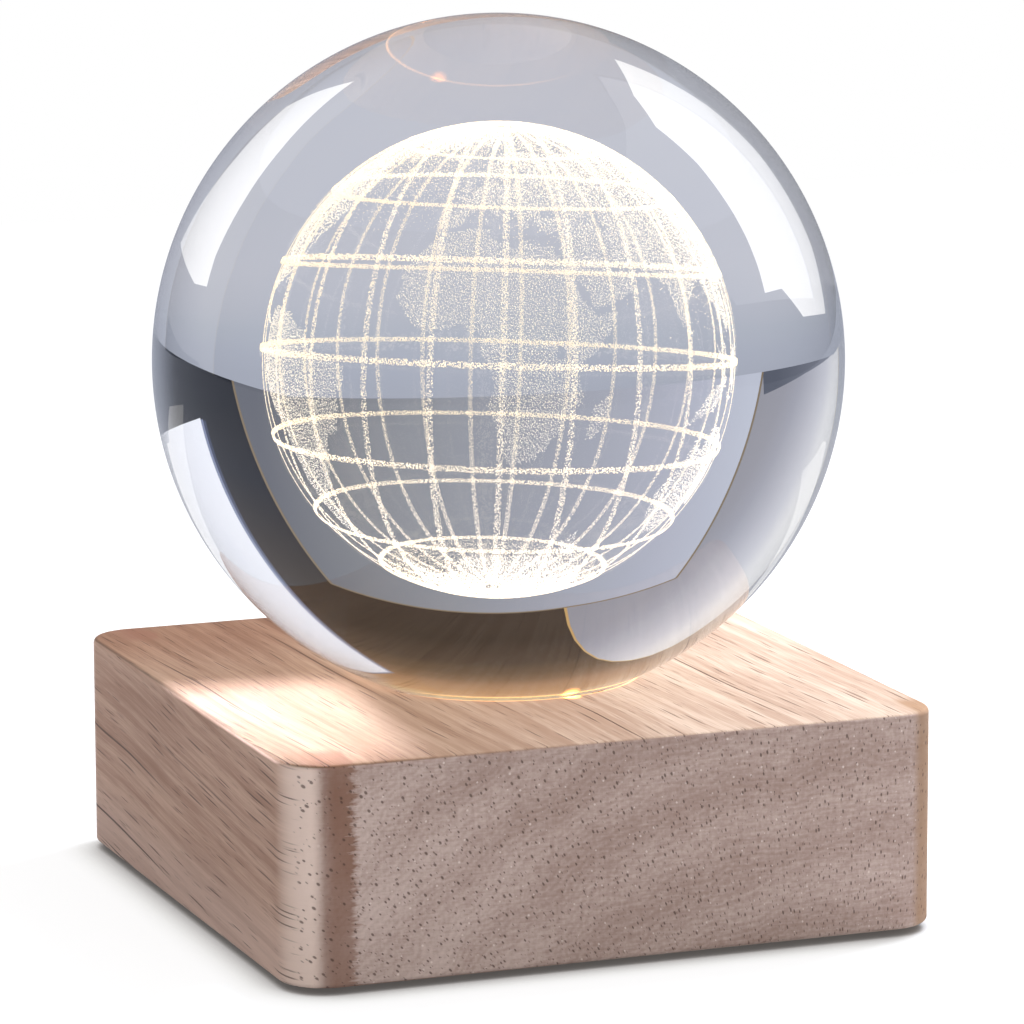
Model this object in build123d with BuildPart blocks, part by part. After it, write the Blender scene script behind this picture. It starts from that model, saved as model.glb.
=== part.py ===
"""Light-up globe award: a crystal ball with an engraved globe, resting on a lit wooden base.

Millimetres. Origin at the bottom centre of the feet, +Z up, +X to the right,
and the front face of the base looks towards -Y.
"""

import os
from math import atan2, cos, pi, radians, sin, tan

from build123d import *

# Overall sizes
ball_diameter = 80.0
ball_sink = 3.3  # depth of the ball's lowest point below the top of the base
base_side = 78.0
base_height = 25.0
base_corner_radius = 5.5
base_edge_radius = 0.6
foot_proud = 0.8  # how far the feet stand out under the wood

# Seat, window and light bore
seat_clearance = 0.2
window_diameter = 26.0
window_thickness = 2.0
window_clearance = 0.15
window_gap = 0.3  # between the window and the lowest point of the ball
window_edge_chamfer = 0.3
window_ledge = 1.5
reflector_clearance = 0.1
reflector_rim = 0.6
reflector_foot = 2.6

# Pocket for the electronics, in the underside of the wood
deck_thickness = 11.0
pocket_wall = 9.0  # wood left between the side of the base and the pocket
pocket_corner_radius = 12.0
cover_margin = 6.0  # from the side of the base to the edge of the cover
cover_corner_radius = 5.0
cover_thickness = 2.0
cover_clearance = 0.2

# Round board with the light sources
lamp_board_diameter = 34.0
lamp_board_thickness = 1.6
lamp_length = 3.5
lamp_width = 2.8
lamp_height = 0.7
lamp_ring_radius = 5.2
lamp_ring_count = 6
lamp_screw_circle_radius = 14.5
lamp_screw_count = 3

# Control board, standing on posts of the bottom cover
control_depth = 22.0
control_side_gap = 1.5  # between the board and each end of the port
control_thickness = 1.2
post_height = 3.0
post_diameter = 5.0
post_side_inset = 3.0  # from the side edges of the board to the posts
post_spacing_y = 9.0
post_inset = 4.0  # from the front edge of the board to the first posts
chip_length = 5.0
chip_width = 4.0
chip_height = 1.5
resistor_length = 2.0
resistor_width = 1.25
resistor_height = 0.5
resistor_count = 3
resistor_pitch = 1.8
resistor_side_share = 0.22  # of the board's width, from its middle line

# Power inlet socket
socket_side_share = 0.25  # of the board's width, to the left of its middle line
socket_width = 8.94
socket_height = 3.16
socket_length = 7.3
socket_wall = 0.3
socket_back_thickness = 1.0
tongue_width = 6.7
tongue_thickness = 0.7
tongue_length = 5.0

# Slide switch
switch_side_share = 0.285  # of the board's width, to the right of its middle line
switch_length = 8.6
switch_height = 3.5
switch_depth = 3.7
knob_width = 1.8
knob_height = 1.6
knob_travel = 2.0
knob_clearance = 0.15
knob_socket_depth = 1.6
knob_proud = 1.0  # how far the knob stands out of the rear panel
knob_groove = 0.2
knob_groove_count = 3

# Rear panel
panel_width = 44.0
panel_height = 11.0
panel_thickness = 1.5
panel_corner_radius = 2.0
panel_inset = 1.2  # from the rear face of the wood to the face of the panel
panel_clearance = 0.15
panel_screw_inset = 3.5  # from the ends of the panel to its screws
port_side_margin = 3.0  # from the panel screws to the ends of the port
port_height = 8.6
port_corner_radius = 1.0
board_edge_gap = 0.3

# Screws
small_shank_radius = 0.95
small_head_radius = 1.9
pan_head_height = 1.2
screw_clearance = 0.05
lamp_screw_length = 5.0
board_screw_length = 3.8
panel_screw_length = 6.0
cover_shank_radius = 1.2
cover_head_radius = 2.2
cover_screw_length = 8.0
cover_screw_inset = 10.5  # from the sides of the base to the cover screws
drive_width = 0.5
drive_depth = 0.5

# Wires and their solder joints
wire_diameter = 1.1
wire_offset_x = 2.6
wire_start_inset = 2.4  # from the front edge of the control board
wire_first_run = 5.0
wire_rise_run = 7.0
wire_last_run = 5.5
wire_bend_share = 0.45
joint_length = 1.6
joint_width = 1.5
joint_height = 1.25
joint_chamfer = 0.4

# Feet
foot_diameter = 8.0
foot_thickness = 1.6
foot_inset = 17.0  # from the sides of the base to the middle of a foot
foot_edge_radius = 0.3
foot_clearance = 0.1

# Engraved globe: thin layers of marks on a sphere in the middle of the ball
globe_diameter = 36.6
mark_depth = 0.2
layer_gap = 0.1  # between the layers of the parallels, the meridians and the lands
line_width = 0.6
meridian_count = 25
meridian_longitude = 6.6  # degrees east of the first engraved meridian
parallel_spacing = 21.0  # degrees between engraved parallels
parallel_latitude = 2.1  # degrees north of the middle one
parallels_each_way = 3
facing_longitude = 15.0  # degrees east of the meridian that faces the viewer
globe_heading = -20.8  # degrees that the facing meridian is turned from the front
globe_lean = 12.65  # degrees that the north pole leans away from the viewer
globe_side_lean = 2.0  # degrees that it leans to the viewer's right

hub_share = 1.1  # radius of the small pole caps, to where the meridians would just touch
land_base_share = 0.5  # where the cut of a land starts, between the centre and the marks

# One overrun serves all cuts
overrun = 1.0

# Outlines of the land, in degrees north and degrees east
africa = [
    (35.8, -6), (35.2, -2), (37, 10), (33.5, 10.3), (32.5, 14), (30.4, 19), (32.7, 22.5), (31, 32),
    (27.5, 34), (22, 37), (15, 39.5), (11.5, 43.3), (11.8, 51.2), (2, 46), (-4.5, 39.5),
    (-11, 40.4), (-15, 40.7), (-20, 35), (-25.5, 33), (-29, 32), (-34, 26), (-34.8, 20),
    (-33, 18), (-22.5, 14.4), (-12, 13.6), (-5, 12), (0.5, 9.4), (4.3, 8.6), (6.3, 4),
    (5, -2), (4.4, -7.7), (9, -13.5), (14.7, -17.4), (21, -17), (28, -12.5), (33, -8.5),
]
eurasia = [
    (36, -5.5), (36.8, -2), (41.5, 3), (43.3, 4), (44.3, 8.8), (42, 12), (38, 15.8), (40, 18.3),
    (42, 15), (45.5, 13.5), (42, 19), (37, 22), (38, 24), (40.5, 23.5), (40.3, 27), (36.7, 28),
    (36.3, 32.5), (36.7, 36), (31.3, 34.3), (29, 34.9), (21, 39), (13, 43), (12.8, 45),
    (17, 55), (22.5, 59.8), (26, 56.3), (24, 51.5), (29.5, 48), (27, 53), (25.3, 60), (24, 67),
    (20.5, 71), (8.5, 77), (13, 80.3), (20, 87), (22, 90), (16, 94.5), (14, 98), (8, 98.3),
    (1.5, 103.5), (7, 100.8), (13.5, 100.5), (10, 106), (21, 107.5), (23, 117), (30, 122), (35, 119.5),
    (40, 119), (40, 124), (35, 126.5), (35.5, 129.5), (42.5, 131), (52, 141), (59, 143),
    (62, 157), (52, 157), (60, 163), (66, 189), (69, 180), (71, 150), (73.5, 125), (77, 104),
    (73, 80), (69, 68), (68, 44), (65, 40), (67, 41), (69.5, 33), (71, 27), (69, 16), (62.5, 6),
    (58, 6.5), (59, 11), (55.7, 13), (60, 18), (65.5, 24), (60.5, 22), (60, 29), (57.5, 24),
    (54.5, 19.5), (54, 11), (57.3, 10), (53.5, 8), (51, 3), (48.5, -4.5), (46, -1.5),
    (43.4, -2), (43.3, -8.5), (37, -9),
]
north_america = [
    (66, -168), (71, -157), (69, -115), (68, -95), (66, -82), (62, -93), (57, -92), (52, -80),
    (62, -78), (58.5, -67), (60, -64.5), (53, -56), (49, -65), (46, -61), (42, -70.5), (35, -76),
    (31, -81.3), (25.5, -80.3), (30, -84.5), (30, -90), (29, -95), (20, -97), (18.5, -94.5),
    (21.3, -88), (16, -88.5), (15.5, -83.5), (9, -80), (8, -77.5), (7.5, -80.5), (13, -88),
    (16, -95), (20, -105.5), (31, -113), (23.5, -110), (33, -117.5), (43, -124.5), (54, -130),
    (60, -146), (55, -162), (60, -165),
]
south_america = [
    (7, -77), (12, -71.5), (10.5, -64), (5.5, -53.5), (0, -50), (-2.5, -44), (-5, -36),
    (-8, -35), (-13, -38.5), (-23, -42), (-25, -48), (-35, -55), (-39, -62), (-47.5, -66),
    (-55, -67), (-47, -75), (-30, -71.5), (-18, -70.5), (-14, -76.3), (-6, -81), (2, -78.5),
]
greenland = [
    (60, -44), (65, -40), (70, -23), (77, -19), (82, -25), (83, -40), (80.5, -65), (76, -69),
    (70, -54), (65, -53),
]
australia = [
    (-11, 142.5), (-18, 146), (-25, 153), (-33, 152), (-38, 149), (-38.5, 144), (-32, 132),
    (-34.5, 122), (-34, 115.5), (-26, 113.5), (-21, 115.5), (-14.5, 127), (-12, 136.5),
    (-16.5, 139.5),
]
antarctica = [
    (-70, 0), (-69, 40), (-67, 60), (-66, 100), (-67, 140), (-72, 170), (-78, 195), (-75, 230),
    (-73, 260), (-64, 300), (-75, 300), (-78, 320), (-72, 345),
]
madagascar = [(-12, 49.3), (-15.5, 50.3), (-25, 47), (-25, 44), (-20, 44.3), (-16, 45)]
britain = [(50, -5.5), (51, 1), (53, 0.2), (57.5, -2), (58.5, -5), (54.5, -3)]
new_guinea = [(-1, 131), (-3, 141), (-10.5, 150), (-8, 143), (-8.5, 138), (-4, 134)]
borneo = [(7, 117), (4, 118), (-4, 115.8), (-3, 110.5), (2, 109.5)]
sumatra = [(5.5, 95.5), (0, 103), (-5.7, 105.7), (-3, 101)]
japan = [(31.5, 130.5), (35.5, 133), (37.5, 137), (45.3, 141.8), (43.3, 145), (35.5, 140.5), (33.5, 135.5)]
new_zealand = [(-34.5, 173), (-38, 178), (-46.5, 169), (-45.5, 166.7), (-40.5, 172.5)]
lands = [
    africa, eurasia, north_america, south_america, greenland, australia, antarctica,
    madagascar, britain, new_guinea, borneo, sumatra, japan, new_zealand,
]

# Heights, from the floor up
wood_bottom = foot_proud
wood_top = wood_bottom + base_height
ball_radius = ball_diameter / 2
ball_bottom = wood_top - ball_sink
ball_centre = ball_bottom + ball_radius
window_top = ball_bottom - window_gap
window_bottom = window_top - window_thickness
deck_bottom = wood_top - deck_thickness
lamp_board_bottom = deck_bottom - lamp_board_thickness
cover_top = wood_bottom + cover_thickness
control_bottom = cover_top + post_height
control_top = control_bottom + control_thickness
socket_centre_z = control_top + socket_height / 2
knob_centre_z = control_top + switch_height / 2

# Widths and places that follow the base and the rear panel
pocket_side = base_side - 2 * pocket_wall
cover_side = base_side - 2 * cover_margin
cover_screw_offset = base_side / 2 - cover_screw_inset
foot_offset = base_side / 2 - foot_inset
panel_screw_spacing = panel_width - 2 * panel_screw_inset
port_width = panel_screw_spacing - 2 * port_side_margin
control_width = port_width - 2 * control_side_gap
post_spacing_x = control_width - 2 * post_side_inset
resistor_offset_x = control_width * resistor_side_share
socket_x = -control_width * socket_side_share
switch_x = control_width * switch_side_share

# Depths, from the rear face of the wood forward
wood_rear = base_side / 2
panel_face_y = wood_rear - panel_inset
panel_back_y = panel_face_y - panel_thickness
control_rear_y = panel_back_y - board_edge_gap
control_centre_y = control_rear_y - control_depth / 2
control_front_y = control_rear_y - control_depth
post_centre_y = control_front_y + post_inset + post_spacing_y / 2

window_radius = window_diameter / 2
light_bore_radius = window_radius - window_ledge
knob_slot_width = knob_width + knob_travel + 2 * knob_clearance
knob_slot_height = knob_height + 2 * knob_clearance
knob_rest_x = switch_x - knob_travel / 2

floor_up = (Align.CENTER, Align.CENTER, Align.MIN)
rear_plane = Plane(origin=(0, wood_rear, 0), x_dir=(-1, 0, 0), z_dir=(0, 1, 0))
panel_plane = rear_plane.offset(-panel_inset)
panel_back_plane = panel_plane.offset(-panel_thickness)


def on_rear(x, z):
    """A place on a plane that faces the rear, which sees the X axis reversed."""
    return (-x, z)


os.makedirs("parts", exist_ok=True)


# The wooden base: a square block with a round seat above and a pocket below
with BuildPart() as wood_base:
    with BuildSketch(Plane.XY.offset(wood_bottom)):
        RectangleRounded(base_side, base_side, base_corner_radius)
    extrude(amount=base_height)
    rims = wood_base.faces().filter_by(Axis.Z).edges()
    fillet(rims, base_edge_radius)
    with BuildSketch(Plane.XY.offset(wood_bottom)):
        RectangleRounded(
            cover_side + 2 * cover_clearance,
            cover_side + 2 * cover_clearance,
            cover_corner_radius + cover_clearance,
        )
    extrude(amount=cover_thickness, mode=Mode.SUBTRACT)
    with BuildSketch(Plane.XY.offset(cover_top)):
        RectangleRounded(pocket_side, pocket_side, pocket_corner_radius)
    extrude(amount=deck_bottom - cover_top, mode=Mode.SUBTRACT)
    with Locations((0, 0, ball_centre)):
        Sphere(ball_radius + seat_clearance, mode=Mode.SUBTRACT)
    with BuildSketch(Plane.XY.offset(window_bottom)):
        Circle(window_radius + window_clearance)
    extrude(amount=wood_top - window_bottom, mode=Mode.SUBTRACT)
    with BuildSketch(Plane.XY.offset(deck_bottom)):
        Circle(light_bore_radius)
    extrude(amount=window_bottom - deck_bottom, mode=Mode.SUBTRACT)
    with BuildSketch(Plane.XY.offset(deck_bottom)):
        with PolarLocations(lamp_screw_circle_radius, lamp_screw_count):
            Circle(small_shank_radius + screw_clearance)
    extrude(amount=lamp_screw_length - lamp_board_thickness, mode=Mode.SUBTRACT)
    with BuildSketch(Plane.XY.offset(cover_top)):
        with GridLocations(2 * cover_screw_offset, 2 * cover_screw_offset, 2, 2):
            Circle(cover_shank_radius + screw_clearance)
    extrude(amount=cover_screw_length - cover_thickness + overrun, mode=Mode.SUBTRACT)
    with BuildSketch(rear_plane):
        with Locations(on_rear(0, socket_centre_z)):
            RectangleRounded(
                panel_width + 2 * panel_clearance,
                panel_height + 2 * panel_clearance,
                panel_corner_radius + panel_clearance,
            )
    extrude(amount=-(panel_inset + panel_thickness), mode=Mode.SUBTRACT)
    with BuildSketch(panel_back_plane):
        with Locations(on_rear(0, socket_centre_z)):
            RectangleRounded(port_width, port_height, port_corner_radius)
    extrude(amount=-(panel_back_y - pocket_side / 2 + overrun), mode=Mode.SUBTRACT)
    with BuildSketch(panel_back_plane):
        with Locations(on_rear(0, socket_centre_z)):
            with GridLocations(panel_screw_spacing, 0, 2, 1):
                Circle(small_shank_radius + screw_clearance)
    extrude(amount=-(panel_screw_length - panel_thickness), mode=Mode.SUBTRACT)
wood_base.part.label = "wood_base"
export_step(wood_base.part, "parts/wood_base.step")


# The clear window over the lamp
with BuildPart() as light_window:
    with BuildSketch(Plane.XY.offset(window_bottom)):
        Circle(window_radius)
    extrude(amount=window_thickness)
    chamfer(light_window.edges(), window_edge_chamfer)
light_window.part.label = "light_window"
export_step(light_window.part, "parts/light_window.step")


# The white cup that throws the light up through the window
with BuildPart() as reflector_cup:
    with BuildSketch(Plane.XY.offset(deck_bottom)):
        Circle(light_bore_radius - reflector_clearance)
    extrude(amount=window_bottom - deck_bottom)
    with BuildSketch(Plane.XY.offset(deck_bottom)):
        Circle(light_bore_radius - reflector_clearance - reflector_foot)
    with BuildSketch(Plane.XY.offset(window_bottom)):
        Circle(light_bore_radius - reflector_clearance - reflector_rim)
    loft(mode=Mode.SUBTRACT)
reflector_cup.part.label = "reflector_cup"
export_step(reflector_cup.part, "parts/reflector_cup.step")


# The round board, screwed up under the deck of the wood
with BuildPart() as lamp_board:
    with BuildSketch(Plane.XY.offset(lamp_board_bottom)):
        Circle(lamp_board_diameter / 2)
        with PolarLocations(lamp_screw_circle_radius, lamp_screw_count):
            Circle(small_shank_radius + screw_clearance, mode=Mode.SUBTRACT)
    extrude(amount=lamp_board_thickness)
lamp_board.part.label = "lamp_board"
export_step(lamp_board.part, "parts/lamp_board.step")


# One lamp chip in the middle of the board and a ring of them round it
with BuildPart() as lamp_chips:
    with BuildSketch(Plane.XY.offset(deck_bottom)):
        Rectangle(lamp_length, lamp_width)
        with PolarLocations(lamp_ring_radius, lamp_ring_count):
            Rectangle(lamp_width, lamp_length)
    extrude(amount=lamp_height)
lamp_chips.part.label = "lamp_chips"
export_step(lamp_chips.part, "parts/lamp_chips.step")


def pan_head_screws(plane, places, length):
    """Small screws that point along the plane's normal, their heads behind the plane."""
    with BuildPart() as screws:
        with BuildSketch(plane):
            with Locations(*places):
                Circle(small_shank_radius)
        extrude(amount=length)
        with BuildSketch(plane):
            with Locations(*places):
                Circle(small_head_radius)
        extrude(amount=-pan_head_height)
        with BuildSketch(plane.offset(-pan_head_height)):
            with Locations(*places):
                Rectangle(small_head_radius, drive_width)
                Rectangle(drive_width, small_head_radius)
        extrude(amount=drive_depth, mode=Mode.SUBTRACT)
    return screws.part


def flat_head_screws(plane, places, shank_radius, head_radius, length):
    """Countersunk screws, their flat heads on the plane, pointing against its normal."""
    with BuildPart(plane) as screws:
        with Locations(*places):
            with Locations(Rotation(180, 0, 0)):
                Cone(head_radius, shank_radius, head_radius - shank_radius, align=floor_up)
                Cylinder(shank_radius, length, align=floor_up)
        with BuildSketch(plane):
            with Locations(*places):
                Rectangle(head_radius, drive_width)
                Rectangle(drive_width, head_radius)
        extrude(amount=-drive_depth, mode=Mode.SUBTRACT)
    return screws.part


lamp_screw_places = [
    place.position for place in PolarLocations(lamp_screw_circle_radius, lamp_screw_count)
]
lamp_board_screws = pan_head_screws(
    Plane.XY.offset(lamp_board_bottom), lamp_screw_places, lamp_screw_length
)
lamp_board_screws.label = "lamp_board_screws"
export_step(lamp_board_screws, "parts/lamp_board_screws.step")


# The bottom cover, with posts for the control board and hollows for the feet
post_places = [
    (side_x * post_spacing_x / 2, post_centre_y + side_y * post_spacing_y / 2)
    for side_x in (-1, 1)
    for side_y in (-1, 1)
]
cover_screw_places = [
    (side_x * cover_screw_offset, side_y * cover_screw_offset)
    for side_x in (-1, 1)
    for side_y in (-1, 1)
]
foot_places = {
    "front_left_foot": (-foot_offset, -foot_offset),
    "front_right_foot": (foot_offset, -foot_offset),
    "rear_left_foot": (-foot_offset, foot_offset),
    "rear_right_foot": (foot_offset, foot_offset),
}
under_plane = Plane(origin=(0, 0, wood_bottom), x_dir=(1, 0, 0), z_dir=(0, 0, -1))
with BuildPart() as bottom_cover:
    with BuildSketch(Plane.XY.offset(wood_bottom)):
        RectangleRounded(cover_side, cover_side, cover_corner_radius)
    extrude(amount=cover_thickness)
    with BuildSketch(Plane.XY.offset(cover_top)):
        with Locations(*post_places):
            Circle(post_diameter / 2)
    extrude(amount=post_height)
    with BuildSketch(Plane.XY.offset(control_bottom)):
        with Locations(*post_places):
            Circle(small_shank_radius + screw_clearance)
    extrude(amount=-(board_screw_length - control_thickness), mode=Mode.SUBTRACT)
    with BuildSketch(Plane.XY.offset(wood_bottom)):
        with Locations(*foot_places.values()):
            Circle(foot_diameter / 2 + foot_clearance)
    extrude(amount=foot_thickness - foot_proud, mode=Mode.SUBTRACT)
    with Locations(under_plane):
        with Locations(*cover_screw_places):
            CounterSinkHole(
                cover_shank_radius + screw_clearance,
                cover_head_radius + screw_clearance,
                depth=cover_thickness,
                counter_sink_angle=90,
            )
bottom_cover.part.label = "bottom_cover"
export_step(bottom_cover.part, "parts/bottom_cover.step")

cover_screws = flat_head_screws(
    under_plane, cover_screw_places, cover_shank_radius, cover_head_radius, cover_screw_length
)
cover_screws.label = "cover_screws"
export_step(cover_screws, "parts/cover_screws.step")


# Four soft feet, stuck in the hollows of the cover
for foot_name, foot_place in foot_places.items():
    with BuildPart() as foot:
        with BuildSketch():
            with Locations(foot_place):
                Circle(foot_diameter / 2)
        extrude(amount=foot_thickness)
        fillet(foot.edges().group_by(Axis.Z)[0], foot_edge_radius)
    foot.part.label = foot_name
    export_step(foot.part, f"parts/{foot_name}.step")


# The control board
with BuildPart() as control_board:
    with BuildSketch(Plane.XY.offset(control_bottom)):
        with Locations((0, control_centre_y)):
            Rectangle(control_width, control_depth)
        with Locations(*post_places):
            Circle(small_shank_radius + screw_clearance, mode=Mode.SUBTRACT)
    extrude(amount=control_thickness)
control_board.part.label = "control_board"
export_step(control_board.part, "parts/control_board.step")

board_face_down = Plane(origin=(0, 0, control_top), x_dir=(1, 0, 0), z_dir=(0, 0, -1))
board_screws = pan_head_screws(
    board_face_down, [(x, -y) for x, y in post_places], board_screw_length
)
board_screws.label = "board_screws"
export_step(board_screws, "parts/board_screws.step")


# The driver chip and the resistors on the control board
with BuildPart() as driver_chip:
    with BuildSketch(Plane.XY.offset(control_top)):
        with Locations((0, post_centre_y)):
            Rectangle(chip_length, chip_width)
    extrude(amount=chip_height)
driver_chip.part.label = "driver_chip"
export_step(driver_chip.part, "parts/driver_chip.step")

with BuildPart() as chip_resistors:
    with BuildSketch(Plane.XY.offset(control_top)):
        with Locations((resistor_offset_x, post_centre_y)):
            with GridLocations(0, resistor_pitch, 1, resistor_count):
                Rectangle(resistor_length, resistor_width)
    extrude(amount=resistor_height)
chip_resistors.part.label = "chip_resistors"
export_step(chip_resistors.part, "parts/chip_resistors.step")


# The inlet socket: a metal shell with its mouth in the rear panel
socket_place = on_rear(socket_x, socket_centre_z)
with BuildPart() as socket_shell:
    with BuildSketch(panel_plane):
        with Locations(socket_place):
            SlotOverall(socket_width, socket_height)
            SlotOverall(
                socket_width - 2 * socket_wall,
                socket_height - 2 * socket_wall,
                mode=Mode.SUBTRACT,
            )
    extrude(amount=-socket_length)
socket_shell.part.label = "socket_shell"
export_step(socket_shell.part, "parts/socket_shell.step")

with BuildPart() as socket_tongue:
    with BuildSketch(panel_plane.offset(-socket_length)):
        with Locations(socket_place):
            SlotOverall(socket_width - 2 * socket_wall, socket_height - 2 * socket_wall)
    extrude(amount=socket_back_thickness)
    with BuildSketch(panel_plane.offset(-socket_length + socket_back_thickness)):
        with Locations(socket_place):
            Rectangle(tongue_width, tongue_thickness)
    extrude(amount=tongue_length)
socket_tongue.part.label = "socket_tongue"
export_step(socket_tongue.part, "parts/socket_tongue.step")


# The slide switch and its knob
switch_plane = panel_back_plane.offset(-board_edge_gap)
with BuildPart() as switch_body:
    with BuildSketch(switch_plane):
        with Locations(on_rear(switch_x, knob_centre_z)):
            Rectangle(switch_length, switch_height)
    extrude(amount=-switch_depth)
    with BuildSketch(switch_plane):
        with Locations(on_rear(switch_x, knob_centre_z)):
            Rectangle(knob_slot_width, knob_slot_height)
    extrude(amount=-(knob_socket_depth + knob_clearance), mode=Mode.SUBTRACT)
switch_body.part.label = "switch_body"
export_step(switch_body.part, "parts/switch_body.step")

knob_reach = panel_inset - knob_proud
with BuildPart() as switch_knob:
    with BuildSketch(rear_plane.offset(-knob_reach)):
        with Locations(on_rear(knob_rest_x, knob_centre_z)):
            Rectangle(knob_width, knob_height)
    extrude(amount=-(knob_proud + panel_thickness + board_edge_gap + knob_socket_depth))
    with BuildSketch(rear_plane.offset(-knob_reach)):
        with Locations(on_rear(knob_rest_x, knob_centre_z)):
            with GridLocations(knob_width / knob_groove_count, 0, knob_groove_count, 1):
                Rectangle(knob_groove, knob_height)
    extrude(amount=-knob_groove, mode=Mode.SUBTRACT)
switch_knob.part.label = "switch_knob"
export_step(switch_knob.part, "parts/switch_knob.step")


# The rear panel, let into the wood, with the openings for socket and knob
panel_screw_places = [
    on_rear(side * panel_screw_spacing / 2, socket_centre_z) for side in (-1, 1)
]
with BuildPart() as rear_panel:
    with BuildSketch(panel_plane):
        with Locations(on_rear(0, socket_centre_z)):
            RectangleRounded(panel_width, panel_height, panel_corner_radius)
        with Locations(socket_place):
            SlotOverall(
                socket_width + 2 * panel_clearance,
                socket_height + 2 * panel_clearance,
                mode=Mode.SUBTRACT,
            )
        with Locations(on_rear(switch_x, knob_centre_z)):
            Rectangle(knob_slot_width, knob_slot_height, mode=Mode.SUBTRACT)
    extrude(amount=-panel_thickness)
    with Locations(panel_plane):
        with Locations(*panel_screw_places):
            CounterSinkHole(
                small_shank_radius + screw_clearance,
                small_head_radius + screw_clearance,
                depth=panel_thickness,
                counter_sink_angle=90,
            )
rear_panel.part.label = "rear_panel"
export_step(rear_panel.part, "parts/rear_panel.step")

panel_screws = flat_head_screws(
    panel_plane, panel_screw_places, small_shank_radius, small_head_radius, panel_screw_length
)
panel_screws.label = "panel_screws"
export_step(panel_screws, "parts/panel_screws.step")


# The two wires from the control board up to the round board
wire_low_z = control_top + wire_diameter / 2
wire_high_z = lamp_board_bottom - wire_diameter / 2
wire_start_y = control_front_y + wire_start_inset
wire_rise_y = wire_start_y - wire_first_run
wire_top_y = wire_rise_y - wire_rise_run
wire_end_y = wire_top_y - wire_last_run
wire_turn = atan2(wire_high_z - wire_low_z, wire_rise_run)
wire_bend_radius = wire_bend_share * wire_first_run / tan(wire_turn / 2)
for wire_name, wire_x in (("live_wire", wire_offset_x), ("return_wire", -wire_offset_x)):
    with BuildPart() as wire:
        with BuildLine() as route:
            FilletPolyline(
                (wire_x, wire_start_y, wire_low_z),
                (wire_x, wire_rise_y, wire_low_z),
                (wire_x, wire_top_y, wire_high_z),
                (wire_x, wire_end_y, wire_high_z),
                radius=wire_bend_radius,
            )
        with BuildSketch(Plane(origin=route.line @ 0, z_dir=route.line % 0)):
            Circle(wire_diameter / 2)
        sweep()
    wire.part.label = wire_name
    export_step(wire.part, f"parts/{wire_name}.step")
    length = sum(edge.length for edge in route.edges())
    print(f"{wire_name}: bend radius {wire_bend_radius:.2f}, length {length:.2f}")

# A bead of solder holds each end of each wire to its board
bead_low_y = wire_start_y + joint_length / 2
bead_high_y = wire_end_y - joint_length / 2
with BuildPart() as solder_joints:
    for bead_y, bead_plane in (
        (bead_low_y, Plane.XY.offset(control_top)),
        (-bead_high_y, Plane(origin=(0, 0, lamp_board_bottom), x_dir=(1, 0, 0), z_dir=(0, 0, -1))),
    ):
        with BuildSketch(bead_plane):
            with Locations((wire_offset_x, bead_y), (-wire_offset_x, bead_y)):
                Rectangle(joint_width, joint_length)
        extrude(amount=joint_height)
    bead_faces = solder_joints.faces().filter_by(Axis.Z).group_by(Axis.Z)
    outer_faces = bead_faces[1] + bead_faces[2]
    chamfer([edge for face in outer_faces for edge in face.edges().filter_by(Axis.Y)], joint_chamfer)
solder_joints.part.label = "solder_joints"
export_step(solder_joints.part, "parts/solder_joints.step")


# The crystal ball
with BuildPart() as crystal_ball:
    with Locations((0, 0, ball_centre)):
        Sphere(ball_radius)
crystal_ball.part.label = "crystal_ball"
export_step(crystal_ball.part, "parts/crystal_ball.step")


# The engraved globe, turned to face the viewer
heading = radians(globe_heading)
lean = radians(globe_lean)
side_lean = radians(globe_side_lean)
facing = radians(facing_longitude)
away = Vector(-sin(heading), cos(heading), 0)
rightward = Vector(cos(heading), sin(heading), 0)
leaned_up = Vector(0, 0, cos(side_lean)) + rightward * sin(side_lean)
north = away * sin(lean) + leaned_up * cos(lean)
viewer_side = leaned_up * sin(lean) - away * cos(lean)
east = north.cross(viewer_side)
prime = viewer_side * cos(facing) - east * sin(facing)
globe_plane = Plane(origin=(0, 0, ball_centre), x_dir=prime, z_dir=north)

globe_radius = globe_diameter / 2
meridian_radius = globe_radius - mark_depth - layer_gap
land_radius = meridian_radius - mark_depth - layer_gap
reach = globe_radius + overrun
hub_radius = hub_share * meridian_count * line_width / (2 * pi)


def direction(latitude, longitude):
    """The unit vector of a place on the globe, in the globe's own axes."""
    lat, lon = radians(latitude), radians(longitude)
    return Vector(cos(lat) * cos(lon), cos(lat) * sin(lon), sin(lat))


def land_plane_and_points(outline):
    """A plane that faces the middle of a land, and the outline seen from the centre on it."""
    middle = Vector(0, 0, 0)
    for latitude, longitude in outline:
        middle = middle + direction(latitude, longitude)
    middle = middle.normalized()
    plane = Plane(origin=(0, 0, 0), z_dir=middle)
    points = []
    for latitude, longitude in outline:
        local = plane.to_local_coords(direction(latitude, longitude))
        points.append((local.X / local.Z, local.Y / local.Z))
    return plane, points


def engraved_layer(outer):
    """A thin round shell that marks are cut from."""
    with BuildPart() as layer:
        Sphere(outer)
        Sphere(outer - mark_depth, mode=Mode.SUBTRACT)
    return layer.part


# The engraved meridians run between two small caps at the poles
with BuildPart() as meridians:
    with BuildSketch():
        Circle(hub_radius)
        with PolarLocations(0, meridian_count, start_angle=meridian_longitude):
            with Locations(((reach + hub_radius) / 2, 0)):
                Rectangle(reach - hub_radius + line_width, line_width)
    extrude(amount=reach, both=True)
    add(engraved_layer(meridian_radius), mode=Mode.INTERSECT)
engraved_meridians = globe_plane.location * meridians.part
engraved_meridians.label = "engraved_meridians"
export_step(engraved_meridians, "parts/engraved_meridians.step")


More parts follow.
